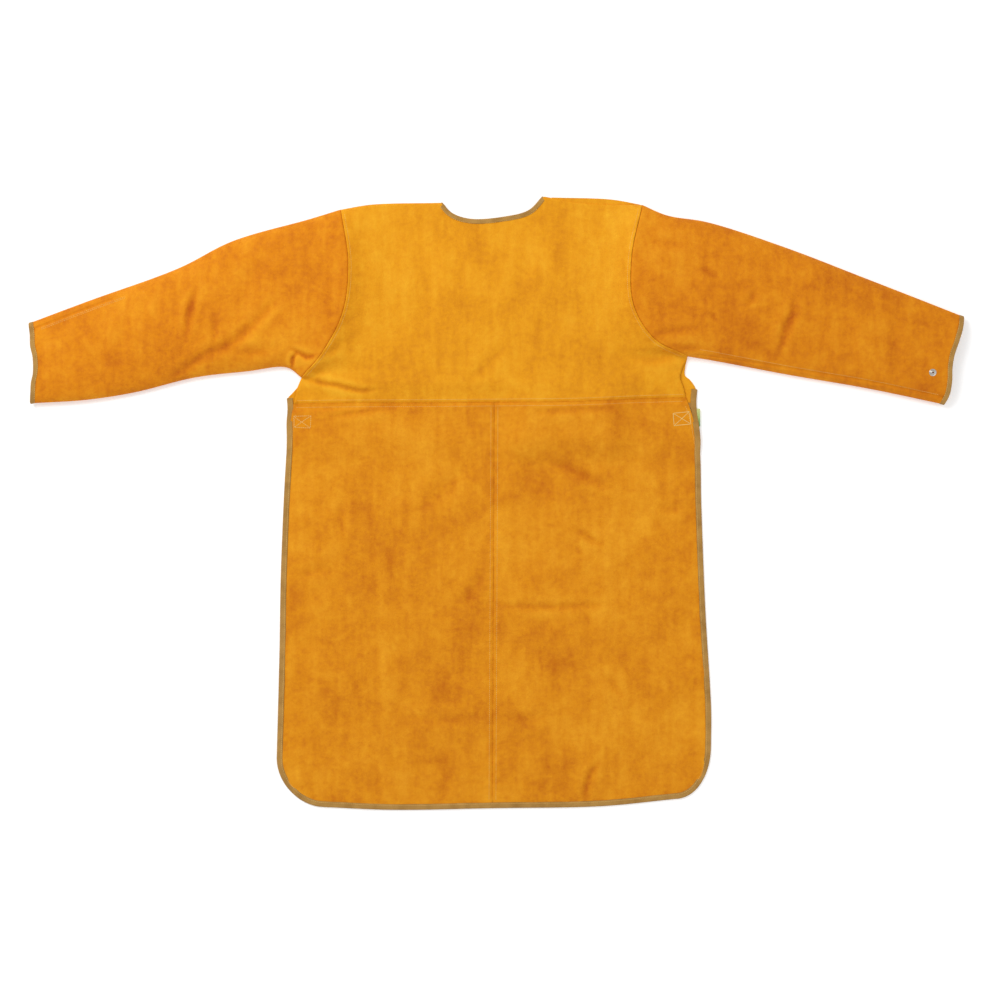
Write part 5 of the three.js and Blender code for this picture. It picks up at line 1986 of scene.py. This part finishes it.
class SnapPart(Enum):
    """A snap fastener's pieces, each by its section: radius and height in millimetres from the leather."""

    STUD = (
        (2.2, 0.3), (6.4, 0.3), (6.55, 0.6), (6.4, 0.95), (5.6, 1.15), (4.3, 1.3), (3.8, 1.55), (3.6, 2.3),
        (3.65, 2.9), (3.4, 3.3), (2.9, 3.45), (2.2, 3.4), (1.6, 3.1), (1.35, 2.6), (2.2, 2.4),
    )  # fmt: skip
    POST = (
        (0.01, -2.8), (4.6, -2.8), (5.2, -2.6), (5.4, -2.3), (5.2, -1.9), (1.9, -1.9), (1.8, -0.1),
        (0.01, 0.0),
    )  # fmt: skip
    CAP = (
        (0.01, -3.6), (2.6, -3.5), (4.7, -3.3), (6.4, -2.9), (7.2, -2.5), (7.4, -2.2), (7.1, -1.9),
        (1.9, -1.9), (1.9, 1.0), (1.6, 1.2), (0.01, 1.2),
    )  # fmt: skip
    SOCKET = (
        (2.2, 0.3), (6.2, 0.3), (6.4, 0.6), (6.4, 1.4), (6.1, 2.0), (5.6, 2.5), (4.9, 2.65), (4.2, 2.5),
        (4.0, 2.0), (3.8, 1.2), (2.2, 1.15),
    )  # fmt: skip


@dataclass
class Snap:
    """One piece of a snap fastener, turned on its own axis and put where the frame has it."""

    node: str
    part: SnapPart
    body: str
    turns: int = 40

    def seat(self, points: Array) -> Matrix:
        """Where the piece sits: its axis is the way in which the section fits the frame's part best.

        Args:
            points: The frame part's vertices.

        Returns:
            The matrix that takes the section's frame there.
        """
        centre = (points.max(axis=0) + points.min(axis=0)) / 2
        section = np.array(self.part.value) * MM
        best = None
        _, axes = np.linalg.eigh(np.cov((points - points.mean(axis=0)).T))
        for axis in axes.T:
            for way in (axis, -axis):
                height = (points - centre) @ way
                radius = np.linalg.norm(points - centre - np.outer(height, way), axis=1)
                height = height - height.min() + section[:, 1].min()
                cloud = np.stack([radius, height], axis=1)
                misfit = np.linalg.norm(cloud[:, None] - section[None], axis=2).min(axis=1).sum()
                if best is None or misfit < best[0]:
                    low = ((points - centre) @ way).min()
                    best = (misfit, way, centre + way * (low - section[:, 1].min()))
        _, way, at = best
        turn = Vector((0, 0, 1)).rotation_difference(Vector(way)).to_matrix().to_4x4()
        return Matrix.Translation(Vector(at)) @ turn

    def make(self, node: bpy.types.Object, wardrobe: Wardrobe) -> bpy.types.Object:
        """Builds the piece.

        Args:
            node: The frame's piece that it stands for.
            wardrobe: The finishes, made once each.

        Returns:
            The piece.
        """
        section = [Vector((r * MM, 0, z * MM)) for r, z in self.part.value]
        bm = bmesh.new()
        verts = [bm.verts.new(p) for p in section]
        edges = [bm.edges.new(pair) for pair in zip(verts, verts[1:])]
        if section[0].x > 0.1 * MM:
            edges.append(bm.edges.new((verts[-1], verts[0])))
        bmesh.ops.spin(
            bm,
            geom=verts + edges,
            cent=(0, 0, 0),
            axis=(0, 0, 1),
            angle=2 * math.pi,
            steps=self.turns,
            use_merge=True,
        )
        bmesh.ops.remove_doubles(bm, verts=bm.verts[:], dist=0.02 * MM)
        bmesh.ops.recalc_face_normals(bm, faces=bm.faces[:])
        points = np.array([v.co for v in node.data.vertices])
        bm.transform(self.seat(points))
        name = self.node.replace("snap", "fastener")
        piece = finished(bm, name, wardrobe.get(Finish.STEEL))
        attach(piece, self.body)
        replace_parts(piece, self.node)
        return wardrobe.dress(piece)


def fasteners() -> list[Snap]:
    """Every snap piece of the cuffs and the neck.

    Returns:
        The twelve pieces.
    """
    cuffs = [
        Snap(f"cuff_snap_{part.name.lower()}_{side.name}", part, f"forearm_{side.name}")
        for side in SIDES
        for part in SnapPart
    ]
    return cuffs + [Snap(f"neck_snap_{part.name.lower()}", part, "body") for part in SnapPart]


@dataclass
class SideLabel:
    """A blank woven tab sewn into the right side."""

    curl: float = 1.6 * MM
    thickness: float = 0.5 * MM

    def make(self, wardrobe: Wardrobe) -> bpy.types.Object:
        """Builds the tab.

        Args:
            wardrobe: The finishes, made once each.

        Returns:
            The piece.
        """
        low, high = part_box("side_label")

        def place(u: Array, v: Array) -> tuple[Array, Array]:
            """Each vertex's point: u runs down the tab and v out of the side."""
            x = mix(low.x, high.x, v)
            y = mix(high.y, low.y, u)
            z = high.z + self.curl * v**2 * (0.6 + 0.4 * np.sin(u * 2.6))
            points = np.column_stack([x, y, z])
            return points, points - [0, 0, 1]

        size = high - low
        piece = surface("side_tab", Weave(30, 20, size.y, size.x), place, wardrobe.get(Finish.LABEL))
        thicken(piece, self.thickness)
        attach(piece, "body")
        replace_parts(piece, "side_label")
        return wardrobe.dress(piece)


@dataclass
class Buckle:
    """The side-release buckle: its housing, its plug and the plug's two prongs."""

    rounding: float = 0.7 * MM

    def make(self, nodes: dict, wardrobe: Wardrobe) -> None:
        """Builds its four pieces.

        Args:
            nodes: The frame's pieces by name.
            wardrobe: The finishes, made once each.
        """
        bodies = {
            "buckle_female": "body",
            "buckle_male": "buckle_plug",
            "buckle_prong_upper": "prong_upper",
            "buckle_prong_lower": "prong_lower",
        }
        for node, body in bodies.items():
            radius = self.rounding if "prong" not in node else self.rounding * 0.6
            name = node.replace("buckle_", "buckle_moulded_")
            piece = softened(nodes[node], name, radius, wardrobe.get(Finish.PLASTIC))
            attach(piece, body)
            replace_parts(piece, node)
            wardrobe.dress(piece)


def neck_tab(nodes: dict, wardrobe: Wardrobe) -> bpy.types.Object:
    """The leather tab that closes the back at the neck.

    Args:
        nodes: The frame's pieces by name.
        wardrobe: The finishes, made once each.

    Returns:
        The piece.
    """
    piece = softened(nodes["neck_tab"], "neck_strap", 0.35 * MM, wardrobe.get(Finish.SLEEVE))
    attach(piece, "body")
    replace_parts(piece, "neck_tab")
    return wardrobe.dress(piece)


# ---------------------------------------------------------------- the studio


@dataclass
class Studio:
    """A white table under soft light, seen from straight above."""

    lens: float = 85.0
    sensor: float = 36.0
    field: float = 1.7325
    middle: tuple[float, float] = (-0.0035, 0.0131)
    floor: float = 80.0

    def light(self, name: str, at: Sequence[float], size: float, power: float) -> None:
        """Hangs a soft square light that looks at the middle of the table.

        Args:
            name: Its name.
            at: Where it hangs, in metres.
            size: Its side in metres.
            power: Its power in watts.
        """
        lamp = bpy.data.lights.new(name, "AREA")
        lamp.size = size
        lamp.energy = power
        holder = bpy.data.objects.new(name, lamp)
        holder.location = at
        holder.rotation_euler = (-Vector(at)).to_track_quat("-Z", "Y").to_euler()
        bpy.context.scene.collection.objects.link(holder)

    def make(self) -> None:
        """Sets the camera, the floor and the light."""
        scene = bpy.context.scene
        camera = bpy.data.cameras.new("camera")
        camera.lens, camera.sensor_width = self.lens, self.sensor
        holder = bpy.data.objects.new("camera", camera)
        holder.location = (*self.middle, self.field * self.lens / self.sensor)
        scene.collection.objects.link(holder)
        scene.camera = holder
        self.light("key", (-1.7, 1.9, 2.6), 1.6, 62.0)
        self.light("fill", (2.3, -0.8, 2.8), 2.6, 16.0)
        world = bpy.data.worlds.new("room")
        scene.world = world
        world.use_nodes = True
        world.node_tree.nodes["Background"].inputs["Color"].default_value = (1.0, 1.0, 1.0, 1.0)
        world.node_tree.nodes["Background"].inputs["Strength"].default_value = 0.62
        scene.view_settings.view_transform = "Standard"
        bm = bmesh.new()
        bmesh.ops.create_grid(bm, x_segments=4, y_segments=4, size=self.floor / 2)
        g = Graph("table")
        white = opaque((0.93, 0.93, 0.93))
        paint = g.finish(
            Base_Color=white,
            Roughness=0.9,
            Specular_IOR_Level=0.1,
            Emission_Color=white,
            Emission_Strength=0.28,
        )
        finished(bm, "table", paint)


# ---------------------------------------------------------------- hand-over


def main() -> None:
    """Builds the apron around its frame."""
    logging.basicConfig(level=logging.INFO, format="%(name)s: %(message)s")
    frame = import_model()
    joints = {joint["name"]: joint for joint in frame["joints"]}
    nodes = frame["nodes"]
    wardrobe = Wardrobe()
    Studio().make()
    elbows = {side.name: Elbow(side, joints[f"sleeve_fold_{side.name}"]["pos_m"]) for side in SIDES}
    chest = Chest()
    halves = (SkirtHalf(LEFT, LEFT_SKIRT), SkirtHalf(RIGHT, RIGHT_SKIRT))
    sleeves = (Sleeve(LEFT, LEFT_SLEEVE, 13.5 * MM, 0.7), Sleeve(RIGHT, RIGHT_SLEEVE, 11.5 * MM, 0.03))
    backs = [BackHalf(side).make(wardrobe) for side in SIDES]
    tapes = {"skirt": hem_tape(halves, wardrobe), "neck": neck_tape(chest, wardrobe)}
    tops = [chest.make(wardrobe)]
    tops += [half.make(wardrobe) for half in halves]
    LOG.info("backs %d, tops %d", len(backs), len(tops))
    work = Needlework(chest, halves)
    for sleeve in sleeves:
        name = sleeve.side.name
        piece = sleeve.make(wardrobe, elbows[name])
        tape = cuff_tape(sleeve, wardrobe)
        work.sleeve(sleeve, Ground([piece, tape]), wardrobe, elbows[name])
    work.body(Ground([*tops, tapes["neck"]]), wardrobe)
    work.skirt(Ground([*tops[1:], tapes["skirt"]]), wardrobe)
    for side in SIDES:
        Strap(side, joints["buckle_release"]["range_m"][1]).make(wardrobe)
    Buckle().make(nodes, wardrobe)
    neck_tab(nodes, wardrobe)
    for snap in fasteners():
        snap.make(nodes[snap.node], wardrobe)
    SideLabel().make(wardrobe)


if __name__ == "__main__":
    main()
